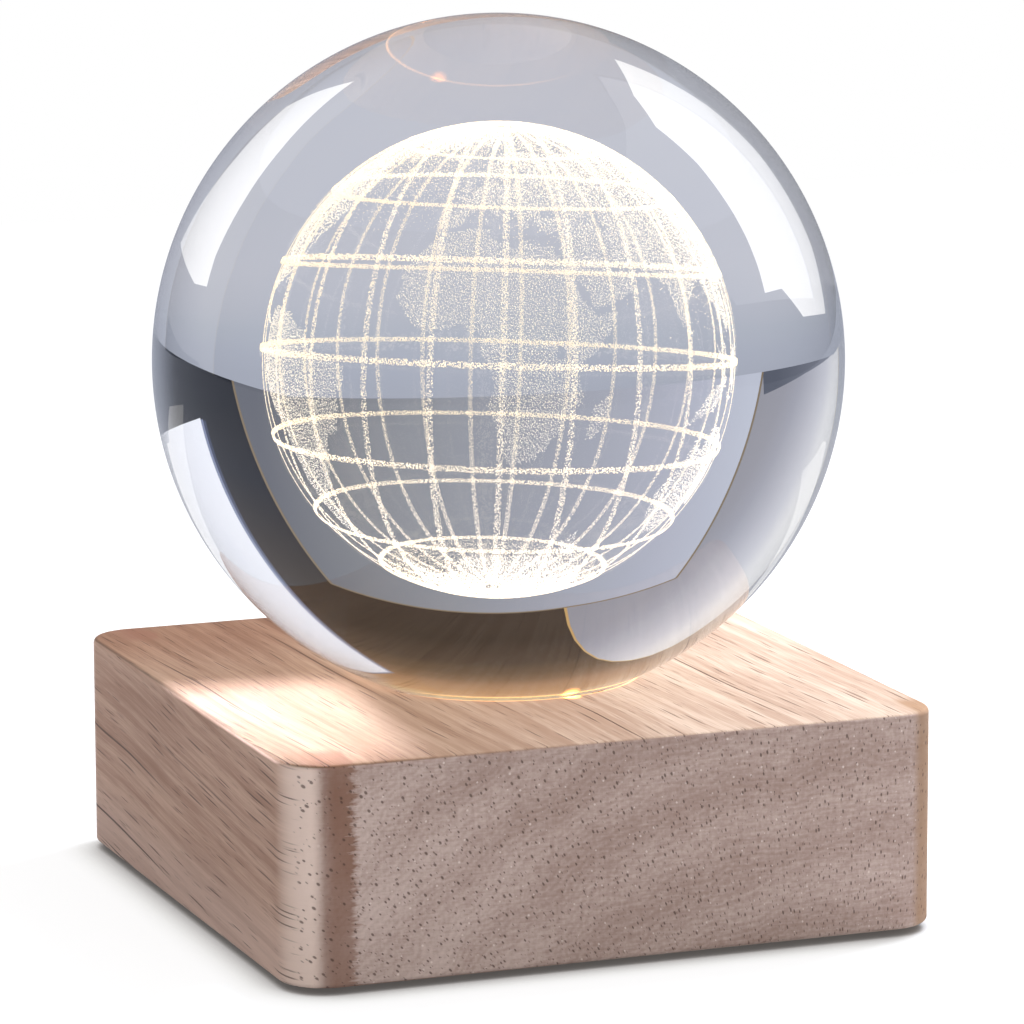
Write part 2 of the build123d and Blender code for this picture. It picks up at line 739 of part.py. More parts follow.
# The engraved parallels are closed rings
with BuildPart() as parallels:
    for step in range(-parallels_each_way, parallels_each_way + 1):
        latitude = radians(parallel_latitude + step * parallel_spacing)
        with BuildSketch(Plane.XY.offset(globe_radius * sin(latitude))):
            Circle(reach)
        extrude(amount=line_width * cos(latitude) / 2, both=True)
    add(engraved_layer(globe_radius), mode=Mode.INTERSECT)
engraved_parallels = globe_plane.location * parallels.part
engraved_parallels.label = "engraved_parallels"
export_step(engraved_parallels, "parts/engraved_parallels.step")


def land_patch(outline):
    """One land as a thin patch, cut from the innermost layer."""
    plane, points = land_plane_and_points(outline)
    with BuildPart() as patch:
        for height in (land_base_share * land_radius, reach):
            with BuildSketch(plane.offset(height)):
                with BuildLine():
                    Polyline(*[(x * height, y * height) for x, y in points], close=True)
                make_face()
        loft(ruled=True)
        add(engraved_layer(land_radius), mode=Mode.INTERSECT)
    return patch.part


# The engraved lands, one patch each
with BuildPart() as land_patches:
    for outline in lands:
        add(land_patch(outline))
engraved_land = globe_plane.location * land_patches.part
engraved_land.label = "engraved_land"
export_step(engraved_land, "parts/engraved_land.step")
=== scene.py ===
"""Looks for the light-up globe award: a clear crystal ball with a globe engraved inside it,
resting on a square wooden base that lights it from below. Metres, in the frame of the CAD."""

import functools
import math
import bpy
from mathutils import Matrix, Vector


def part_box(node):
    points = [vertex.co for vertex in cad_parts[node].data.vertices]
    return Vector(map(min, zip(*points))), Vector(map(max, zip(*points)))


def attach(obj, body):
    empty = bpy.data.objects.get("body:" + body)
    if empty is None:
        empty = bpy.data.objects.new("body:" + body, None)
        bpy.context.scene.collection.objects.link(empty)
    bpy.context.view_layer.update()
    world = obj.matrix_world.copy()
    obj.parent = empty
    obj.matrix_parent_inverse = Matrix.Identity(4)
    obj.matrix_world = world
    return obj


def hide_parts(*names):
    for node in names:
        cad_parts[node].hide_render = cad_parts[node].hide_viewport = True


bl_info = {
    "name": "Light-up Globe Award",
    "version": (1, 0, 0),
    "blender": (4, 5, 0),
    "location": "3D View > Sidebar > Globe Award",
    "description": "Builds the crystal ball, its engraved globe, the wooden base and the stage",
    "category": "Object",
}

import bmesh
import bpy
from mathutils import Matrix, Vector, noise

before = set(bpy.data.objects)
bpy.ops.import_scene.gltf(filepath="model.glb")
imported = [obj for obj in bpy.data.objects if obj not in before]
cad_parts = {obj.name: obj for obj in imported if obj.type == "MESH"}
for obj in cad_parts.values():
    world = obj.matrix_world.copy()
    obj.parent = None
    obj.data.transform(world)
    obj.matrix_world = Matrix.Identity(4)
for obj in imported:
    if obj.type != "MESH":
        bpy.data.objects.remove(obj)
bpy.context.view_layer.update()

MM = 0.001
PER_MM = (1 / MM, 1 / MM, 1 / MM)


def middle_of(node_name):
    """The middle and half width of a CAD node, in metres."""
    low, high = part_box(node_name)
    return (low + high) / 2, (high.x - low.x) / 2


ball_centre, ball_radius = middle_of("crystal_ball")
wood_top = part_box("wood_base")[1].z

# The heart of the tree as the end grain shows it, and the rim of the seat, in millimetres
HEART_X, HEART_Z = 30.0, -50.0
SEAT_RIM = 16.35
# Corners of the CAD's mesh nearer than this are one, and its edges are sharp from this angle on
SAME_PLACE = 0.001 * MM
SHARP_ANGLE = math.radians(35)
# The place on the rim where the painted glow has a painted glint
PAINTED_SEAT_GLINT = Vector((2.55 * MM, -16.2 * MM, wood_top - 0.3 * MM))


# Small helpers


def linear(code):
    """A six-digit sRGB hex colour as linear RGBA."""
    values = []
    for start in (0, 2, 4):
        part = int(code[start:start + 2], 16) / 255
        values.append(part / 12.92 if part <= 0.04045 else ((part + 0.055) / 1.055) ** 2.4)
    return (*values, 1.0)


# For the kinds of node that are used most: the output that is used, the inputs in the order in
# which their values are given, and the settings. Kinds leave out their ShaderNode. A kind in
# small letters is a math operation, and a vector one follows a dot.
USUAL = {
    "VectorMath": ("Value", (0, 1), {}),
    "MapRange": ("Result", (0, 1, 2, 3, 4), {"interpolation_type": "SMOOTHSTEP"}),
    "Mix": (2, (0, 6, 7), {"data_type": "RGBA"}),
    "TexCoord": ("Object", (), {}),
    "TexNoise": ("Fac", ("Vector", "Scale", "Detail", "Roughness"), {}),
    "Mapping": ("Vector", ("Vector", "Scale", "Location"), {}),
    "Bump": ("Normal", ("Height", "Distance", "Strength"), {}),
    "GeometryNodeInputNamedAttribute": ("Attribute", ("Name",), {"data_type": "FLOAT"}),
}


def add_node(tree, kind, *values, inputs=None, output=None, stops=(), **settings):
    """Add a node with its settings, links and ramp stops, and give one of its outputs.

    Values for the inputs come in their usual order, or by name in inputs. A value is a number, an
    output to link, or the hex code of a colour."""
    kind, _, operation = ("Math." + kind.upper() if kind.islower() else kind).partition(".")
    usual_output, order, usual_settings = USUAL.get(kind, (0, range(len(values)), {}))
    item = tree.nodes.new(kind if "Node" in kind else "ShaderNode" + kind)
    if operation:
        item.operation = operation
    for name, value in {**usual_settings, **settings}.items():
        setattr(item, name, value)
    for key, value in {**dict(zip(order, values)), **(inputs or {})}.items():
        socket = item.inputs[key]
        if isinstance(value, bpy.types.NodeSocket):
            tree.links.new(value, socket)
        else:
            coded = socket.type == "RGBA" and isinstance(value, str)
            socket.default_value = linear(value) if coded else value
    for number, (position, code) in enumerate(stops):
        elements = item.color_ramp.elements
        element = elements[number] if number < len(elements) else elements.new(position)
        element.position = position
        element.color = linear(code)
    if output == "all" or not item.outputs:
        return item.outputs
    return item.outputs[usual_output if output is None else output]


def start_tree(owner):
    """Empty the node tree of a material or world, and give the function that adds nodes to it."""
    owner.use_nodes = True
    owner.node_tree.nodes.clear()
    return functools.partial(add_node, owner.node_tree)


def new_material(name):
    """A material and the function that adds nodes to it. What glows in it lights nothing else."""
    material = bpy.data.materials.new(name)
    material.cycles.emission_sampling = "NONE"
    return material, start_tree(material)


def direction(turn, rise):
    """A unit vector that points to the back, turned to the right and raised, in radians."""
    level = math.cos(rise)
    return Vector((math.sin(turn) * level, math.cos(turn) * level, math.sin(rise)))


def link_object(name, mesh):
    """A new object at the origin that carries a mesh."""
    piece = bpy.data.objects.new(name, mesh)
    bpy.context.collection.objects.link(piece)
    return piece


def smooth_object(name, shape):
    """An object from a bmesh, which is used up, with all its faces smooth."""
    for face in shape.faces:
        face.smooth = True
    mesh = bpy.data.meshes.new(name)
    shape.to_mesh(mesh)
    shape.free()
    return link_object(name, mesh)


def mesh_from(name, points, faces):
    """A mesh from points in metres and faces."""
    mesh = bpy.data.meshes.new(name)
    mesh.from_pydata([tuple(point) for point in points], [], faces)
    mesh.update()
    return mesh


# Settings


def colour_property(name, description, default):
    """A colour among the settings, its default given as a hex code."""
    return bpy.props.FloatVectorProperty(
        name=name, description=description, default=linear(default)[:3], size=3, subtype="COLOR",
        min=0, max=1)


class GlobeAwardBall(bpy.types.PropertyGroup):
    """Sizes and colours of the ball and of the globe inside it."""

    refraction: bpy.props.FloatProperty(
        name="Refraction", description="Index of refraction of the crystal glass",
        default=1.52, min=1.3, max=2.0)
    mark_size: bpy.props.FloatProperty(
        name="Mark size", description="Size of one laser mark in the glass",
        default=0.00006, subtype="DISTANCE", unit="LENGTH", precision=5)
    line_width: bpy.props.FloatProperty(
        name="Line width", description="Width of an engraved line of the graticule",
        default=0.00042, subtype="DISTANCE", unit="LENGTH", precision=5)
    line_marks: bpy.props.IntProperty(
        name="Line marks",
        description="Marks in the meridians of each hemisphere, and in the parallels",
        default=44000, min=1000, max=48500)
    land_marks: bpy.props.IntProperty(
        name="Land marks", description="Marks that shade the lands of the old world",
        default=36000, min=1000, max=48500)
    glow_marks: bpy.props.IntProperty(
        name="Glow marks",
        description="Marks that fill the lit polar caps and the haze at the top",
        default=36000, min=1000, max=48500)
    light: colour_property(
        "Mark light", "Colour that the lit marks send out in the upper half", "fff0cb")


class GlobeAwardBase(bpy.types.PropertyGroup):
    """Sizes and colours of the wooden base."""

    wood_light: colour_property(
        "Light wood", "Colour of the pale wood on the top and the sides", "d2bda9")
    wood_dark: colour_property(
        "Dark wood", "Colour of the darker streaks on the top and the sides", "aa8f7b")
    end_light: colour_property(
        "Light end grain", "Colour of the pale end grain on the front and the back", "cbb6ac")
    end_dark: colour_property(
        "Dark end grain", "Colour of the darker end grain on the front and the back", "9a8074")
    pore: colour_property(
        "Pores", "Colour of the open pores and streaks", "4c3328")
    ring_spacing: bpy.props.FloatProperty(
        name="Ring spacing", description="Distance from one growth zone to the next",
        default=0.0085, subtype="DISTANCE", unit="LENGTH", precision=4)


class GlobeAwardStage(bpy.types.PropertyGroup):
    """The camera and the light."""

    focal_length: bpy.props.FloatProperty(
        name="Focal length", description="Focal length on a 36 mm sensor",
        default=204.71, min=10, subtype="DISTANCE_CAMERA")
    fill: bpy.props.FloatProperty(
        name="Fill light", description="Strength of the pale light from all sides",
        default=0.66, min=0, max=3)
    key: bpy.props.FloatProperty(
        name="Key light", description="Power of the soft box on the right",
        default=1.65, min=0, max=100, subtype="POWER")


SETTINGS = (
    ("globe_award_ball", GlobeAwardBall),
    ("globe_award_base", GlobeAwardBase),
    ("globe_award_stage", GlobeAwardStage),
)

# The globe's own directions

HEADING_OF_VIEW = math.radians(20.8)
HEADING = -HEADING_OF_VIEW
LEAN = math.radians(12.65)
SIDE_LEAN = math.radians(2.0)
FACING = math.radians(15.0)
MERIDIAN_COUNT = 25
MERIDIAN_START = 6.6
PARALLEL_START = 2.1
PARALLEL_SPACING = 21.0
PARALLELS_EACH_WAY = 3
PARALLEL_RADIUS = 18.12 * MM
MERIDIAN_RADIUS = 18.0 * MM
LAND_RADIUS = 17.85 * MM
# Steps round a ring, and along a meridian
RING_STEPS = 180
MERIDIAN_STEPS = 45
# The cells that the lands are filled with, and how far and finely their coasts waver
LAND_CELL = 0.75
LAND_REACH = 87
COAST_WAVER = 0.012
COAST_FINENESS = 14


def globe_axes():
    """The directions of the prime meridian, of 90 degrees east and of the north pole."""
    away = Vector((-math.sin(HEADING), math.cos(HEADING), 0))
    rightward = Vector((math.cos(HEADING), math.sin(HEADING), 0))
    leaned_up = Vector((0, 0, math.cos(SIDE_LEAN))) + rightward * math.sin(SIDE_LEAN)
    north = away * math.sin(LEAN) + leaned_up * math.cos(LEAN)
    viewer_side = leaned_up * math.sin(LEAN) - away * math.cos(LEAN)
    east = north.cross(viewer_side)
    prime = viewer_side * math.cos(FACING) - east * math.sin(FACING)
    return prime.normalized(), north.cross(prime).normalized(), north.normalized()


PRIME, NINETY, NORTH = globe_axes()
# The side of the globe on which the light gathers, above, behind and to the right, where a haze of
# extra marks paints that light
GATHERED_LIGHT = Vector((0.52, 0.16, 0.84)).normalized()


def on_globe(latitude, longitude, radius):
    """A point of the globe, in metres in the frame of the CAD."""
    lat, lon = math.radians(latitude), math.radians(longitude)
    level = PRIME * math.cos(lon) + NINETY * math.sin(lon)
    return ball_centre + (level * math.cos(lat) + NORTH * math.sin(lat)) * radius


# Outlines of the land and of its inland seas, in degrees north and east
AFRICA = (
    (35.8, -6), (35.2, -2), (36.8, 3), (37.2, 10), (34, 10.3), (32.8, 13), (30.4, 19),
    (32.6, 21.8), (31, 29), (31.4, 32.2), (29.9, 32.5), (27.5, 33.8), (24, 35.6), (20, 37.2),
    (15.5, 39.6),
    (12.5, 43.2), (11.2, 44), (11.8, 51.2), (8, 49.8), (2, 45.3), (-2, 41), (-4.6, 39.3),
    (-8, 39.4), (-11, 40.5), (-15, 40.7), (-17.5, 37), (-20, 34.9), (-24, 35.4), (-26, 32.8),
    (-29.5, 31.2), (-33, 28), (-34.1, 23), (-34.8, 20), (-33.5, 18.2), (-28, 16), (-22.5, 14.4),
    (-17, 11.8), (-12, 13.6), (-6, 12.2), (-1, 9), (3.5, 9.8), (4.5, 8.3), (4.3, 6), (6.3, 4),
    (6, 1), (4.8, -2), (5.2, -4), (4.4, -7.7), (7.5, -12.5), (11, -15.2), (14.7, -17.4),
    (19, -16.3), (21, -17), (25, -14.8), (28, -12.2), (31, -9.8), (33.6, -7.6),
)
EURASIA = (
    (36.1, -5.5), (36.8, -2), (39.5, 0), (41.4, 2.8), (43.2, 4), (44.2, 8.8), (42, 11.5),
    (40.8, 14), (38, 15.8), (40.3, 16.8), (40, 18.4), (41.9, 15.8), (43.8, 13.2), (45.5, 13.3),
    (43.5, 16), (41.8, 19.4), (38.5, 21), (36.6, 22.5), (38, 24), (40.3, 22.8), (40.8, 26),
    (39, 26.5), (36.8, 28), (36.2, 31), (36.6, 35), (34, 35.6), (31.4, 34.2), (29.3, 34.9),
    (25, 37), (21, 39), (16.5, 42.6), (12.8, 43.5), (13.5, 47), (15.8, 52), (18, 56.5),
    (22.5, 59.8), (24, 57), (26.2, 56.4), (24.2, 54), (24.6, 51.5), (26.5, 50.1), (29.6, 48),
    (30, 50), (27, 53), (26.8, 57), (25.3, 61), (24.8, 66.6), (22.5, 69), (20.8, 71), (21, 72.5),
    (16, 73.4), (12, 75), (8.2, 77.4), (10, 79), (13, 80.3), (16, 81.5), (19.5, 85.2), (21.7, 88),
    (22.3, 91), (16, 94.5), (16.5, 97), (12, 98.7), (8, 98.3), (4, 101), (1.4, 103.5), (4, 103.4),
    (7, 100.8), (13.3, 100.4), (11.5, 102.8), (8.7, 105), (11.5, 109), (16, 108), (20, 106),
    (21.5, 108.5), (22.5, 114), (25, 119), (30, 122), (35, 119.5), (37.5, 122), (39, 118),
    (40.5, 121.5), (39.8, 124.5), (35, 126.5), (35.3, 129.4), (39, 127.6), (42.5, 131),
    (48, 140.2), (53, 141), (54.5, 137), (59, 143), (59.5, 150), (62, 157), (57, 156.8),
    (51.5, 156.8), (56, 162.5), (60, 164), (61, 172), (65, 178), (66, 189), (69, 180), (70, 160),
    (71.5, 150), (73.5, 125), (76.5, 108), (77, 100), (73.5, 80), (68.5, 73), (72.5, 69),
    (69, 66), (68.3, 50), (66.5, 44), (64.5, 38), (67, 41), (69.5, 33), (71, 27), (69, 16),
    (64, 10), (61, 5), (58.2, 7), (59, 10.7), (55.6, 13), (56.2, 16), (60, 18.5), (63, 18),
    (65.7, 23), (63, 21.5), (60.4, 22), (60, 28.5), (59, 23.5), (57, 24), (54.6, 19.8),
    (54.2, 13), (56, 10.5), (57.6, 10), (55.4, 8.2), (53.5, 7), (51.3, 3), (49.5, 0), (48.6, -4.5),
    (46, -1.5), (43.4, -2), (43.5, -8.5), (37, -9),
)
NORTH_AMERICA = (
    (66, -168), (71, -157), (69.5, -135), (69, -115), (68, -95), (66, -82), (62, -93), (57, -92),
    (55, -82), (51.5, -80), (56, -77), (62, -77), (58.5, -67), (60, -64.5), (53, -56),
    (49.5, -65), (46, -61), (43.5, -66), (42, -70.5), (40.5, -74), (35, -76), (31, -81.3),
    (25.5, -80.3), (29, -83), (30, -88), (29, -95), (23, -97.8), (18.7, -94.8), (21.3, -88),
    (16, -88.5), (15, -83.5), (9.5, -82), (9.4, -79), (8, -77.5), (7.5, -80.5), (10, -85.5),
    (13.5, -90), (16, -95), (20, -105.5), (25, -109), (31, -113), (28, -112), (23.5, -110),
    (30, -115.7), (34.5, -120.5), (40.5, -124.3), (48, -124.5), (54, -130), (58, -136), (60, -146),
    (57, -158), (55, -162), (60, -165),
)
SOUTH_AMERICA = (
    (8, -77.3), (11, -74.8), (12, -71.5), (10.7, -66), (10.5, -62), (6.5, -57), (5, -52),
    (0, -50), (-1.5, -46), (-2.8, -41), (-5, -35.5), (-8, -34.9), (-13, -38.5), (-18, -39.5),
    (-23, -42), (-24.5, -47), (-29, -49.5), (-34, -53.5), (-35, -57), (-38.5, -58.5),
    (-39, -62), (-42, -64), (-47.5, -66), (-52, -68.5), (-55, -66.5), (-52, -74), (-46.5, -75),
    (-40, -73.7), (-30, -71.5), (-18.4, -70.4), (-14, -76.2), (-8, -79.5), (-5, -81.2),
    (-1, -80.5), (2, -78.7), (5, -77.4),
)
GREENLAND = (
    (60, -44), (65, -40), (68.5, -30), (70, -23), (77, -19), (82, -25), (83.3, -40), (81, -60),
    (78, -72), (76, -68), (72, -56), (68, -53.5), (64, -52),
)
AUSTRALIA = (
    (-11, 142.5), (-14.5, 144), (-18, 146), (-21, 149), (-25, 153), (-30, 153.2), (-34, 151),
    (-37.8, 149.8), (-38.5, 144), (-35.5, 138.5), (-32.5, 134), (-31.5, 130), (-33.8, 124),
    (-34.5, 118), (-32, 115.7), (-26, 113.5), (-21.8, 114.2), (-19.8, 120), (-16.5, 123),
    (-14.2, 127), (-12, 131), (-12, 136.5), (-17.2, 140),
)
SMALLER_LANDS = (
    ((-12, 49.3), (-15.5, 50.3), (-20, 48.8), (-25, 47), (-25, 44), (-20, 44.3), (-16, 45)),
    ((50.1, -5.5), (50.8, 1), (53, 0.2), (55, -1.6), (57.6, -2), (58.6, -5), (54.6, -3)),
    ((51.6, -9.5), (52.2, -6.5), (55.2, -6.5), (54.3, -10)),
    ((63.5, -19), (65, -13.7), (66.3, -16), (65.8, -24)),
    ((38, 12.5), (38.2, 15.5), (36.8, 15)), ((41, 8.3), (41, 9.7), (39, 9), (39, 8.4)),
    ((35.5, 23.6), (35.3, 26.2), (34.9, 24.5)), ((35.2, 32.4), (35.5, 34.4), (34.7, 33)),
    ((-1, 131), (-3, 141), (-10.5, 150), (-8, 143), (-8.5, 138), (-4, 134)),
    ((7, 117), (4, 118), (-4, 115.8), (-3, 110.5), (2, 109.5)),
    ((5.5, 95.5), (0, 103), (-5.7, 105.7), (-3, 101)), ((-6, 106), (-7, 114), (-8, 110)),
    ((1.5, 125), (-5, 123), (-5, 119.5), (0, 120)), ((18, 121), (13, 124), (7, 126), (14, 120.5)),
    ((9.7, 80.2), (7, 81.9), (6, 80.5), (8, 79.8)),
    ((31.5, 130.5), (35.5, 133), (37.5, 137), (45.3, 141.8), (43.3, 145), (35.5, 140.5),
     (33.5, 135.5)),
    ((-34.5, 173), (-38, 178), (-46.5, 169), (-45.5, 166.7), (-40.5, 172.5)),
    ((73, 53), (76.5, 68), (73, 57), (71, 54)), ((77, 15), (80, 25), (80, 12)),
)
ARCTIC_LANDS = (
    ((22, -84), (23, -81), (20, -74.5), (20.3, -77)), ((19.8, -73), (18.6, -68.5), (18, -72)),
    ((66, -62), (70, -68), (73, -80), (70, -85), (66, -73)),
    ((70, -105), (73, -115), (71, -118), (69, -110)), ((77, -90), (82, -70), (82, -90)),
)
ANTARCTICA = (
    (-70, 0), (-69, 40), (-67, 60), (-66, 100), (-67, 140), (-72, 170), (-78, 195), (-75, 230),
    (-73, 260), (-64, 300), (-75, 300), (-78, 320), (-72, 345),
)
INLAND_SEAS = (
    ((41, 29), (41.6, 32), (41, 38.5), (41.6, 41.4), (44.7, 37.5), (45.3, 36.5), (47, 38.5),
     (46, 35), (45, 34), (44.5, 33.6), (46.2, 31.5), (43.5, 28.6)),
    ((36.9, 54), (37.5, 50), (41, 49.2), (44.5, 47), (46.8, 50), (45, 53), (41, 53)),
    ((44, 59), (46.5, 59), (46, 61.5), (43.8, 60.5)),
    ((54, 108), (55.5, 109.8), (51.7, 105), (51.8, 104)),
    ((0.3, 32), (0.3, 34), (-2.3, 33.5), (-2.3, 32)),
    ((48, -88), (47, -85), (42, -87.5), (44, -82), (46, -84), (46.6, -91)),
)
OLD_WORLD = (AFRICA, EURASIA, AUSTRALIA) + SMALLER_LANDS
NEW_WORLD = (NORTH_AMERICA, SOUTH_AMERICA, GREENLAND, ANTARCTICA) + ARCTIC_LANDS


def own_direction(latitude, longitude):
    """A place of the globe as a unit vector in the globe's own axes."""
    lat, lon = math.radians(latitude), math.radians(longitude)
    return Vector((math.cos(lat) * math.cos(lon), math.cos(lat) * math.sin(lon), math.sin(lat)))


def flat_outline(outline):
    """An outline seen from the globe's centre on a plane that faces its middle."""
    corners = [own_direction(*place) for place in outline]
    facing = sum(corners, Vector()).normalized()
    across = facing.cross(Vector((0.3, 0.2, 0.9))).normalized()
    upward = facing.cross(across)
    flat = []
    for corner in corners:
        depth = max(corner.dot(facing), 0.05)
        flat.append((corner.dot(across) / depth, corner.dot(upward) / depth))
    return facing, across, upward, flat


def inside(shape, spot):
    """Whether a direction falls inside a flat outline."""
    facing, across, upward, flat = shape
    depth = spot.dot(facing)
    if depth <= 0.05:
        return False
    x, y = spot.dot(across) / depth, spot.dot(upward) / depth
    found = False
    for (x1, y1), (x2, y2) in zip(flat, flat[1:] + flat[:1]):
        if (y1 > y) != (y2 > y) and x < x1 + (y - y1) * (x2 - x1) / (y2 - y1):
            found = not found
    return found


# Materials


def crystal_glass(settings):
    """Optical crystal, ground and polished to a sphere: clear, bright, a trace of blue."""
    material, add = new_material("polished_optical_crystal")
    # Faint wiping marks are all that breaks the polish of a handled ball
    marks = wavering(add, 0.09, 3.0, 0.6)
    add("OutputMaterial", add("BsdfPrincipled", inputs={
        "Base Color": add("ValToRGB", marks, stops=[(0.3, "fbfcff"), (0.7, "ffffff")]),
        "Transmission Weight": 1.0, "IOR": settings.refraction, "Roughness": 0.0,
    }))
    return material


def lit_marks(name, settings, low, high, base, veil=None):
    """Laser marks in glass: tiny white cracks, whose glow is painted light: an emission in place
    of the warm lamp light from below that they scatter.

    They glow white near the lamp and at the poles, and cream above it. The marks that are too fine
    to see one by one are a veil, whose share of cover is given."""
    material, add = new_material(name)
    place = add("Mapping", add("TexCoord"), PER_MM, tuple(-v / MM for v in ball_centre))
    height = add("SeparateXYZ", place, output="Z")
    along = add("VectorMath.DOT_PRODUCT", place, tuple(NORTH))
    bottom = add("MapRange", height, 3.0, -15.0)
    speckle = add("TexNoise", place, 7.0, 1.0)
    # Painted light: the marks glow brighter near the lamp below and at the poles
    glow = weighted_sum(
        add, low, (bottom, high - low), (add("MapRange", along, -15.4, -17.4), 0.3),
        (add("MapRange", along, 15.6, 17.6), 0.4))
    warm = add("Mix", bottom, (*settings.light, 1.0), "fff9f0")
    inputs = {
        "Base Color": add("ValToRGB", speckle, stops=[(0.3, base), (0.8, "fff9ec")]),
        "Emission Color": add("Mix", 0.75, warm, base, blend_type="MULTIPLY"),
        "Emission Strength": add("multiply", glow, add("MapRange", speckle, 0.35, 0.7, 0.8, 1.1)),
        "Roughness": 0.6,
    }
    if veil:
        fine = add("TexNoise", place, 8.5, 1.0)
        inputs["Alpha"] = add(
            "multiply", add("MapRange", fine, 0.35, 0.65, veil * 0.45, veil * 1.55),
            add("Attribute", attribute_name="density", output="Fac"), use_clamp=True)
    add("OutputMaterial", add("BsdfPrincipled", inputs=inputs))
    return material


def spots(add, place, size, core, share, seed):
    """Random spots, one to a cell of the given size in mm; a share of the cells is bare."""
    cells = add("TexVoronoi", inputs={
        "Vector": add("Mapping", place, (1 / size[0], 1 / size[1], 1), (seed, seed * 1.7, 0)),
        "Scale": 1.0, "Randomness": 1.0,
    }, output="all", feature="F1", voronoi_dimensions="2D")
    chance = add("SeparateColor", cells["Color"], output="all")
    kept = add("MapRange", chance["Red"], share, share + 0.06)
    width = add("multiply_add", chance["Green"], core, core * 0.6)
    edge = add("divide", cells["Distance"], width)
    return add("multiply", add("MapRange", edge, 1.0, 0.45), kept)


def wavering(add, scale, detail=3.0, roughness=0.55):
    """Noise in cycles per millimetre: one number, or one for each axis."""
    scales = scale if isinstance(scale, tuple) else (scale,) * 3
    place = add("Mapping", add("TexCoord"), tuple(part / MM for part in scales))
    return add("TexNoise", place, 1.0, detail, roughness)


def product(add, first, *factors):
    """Several numbers multiplied."""
    for factor in factors:
        first = add("multiply", first, factor)
    return first


def weighted_sum(add, total, *parts):
    """A number plus each part times its share."""
    for part, share in parts:
        total = add("multiply_add", part, share, total)
    return total


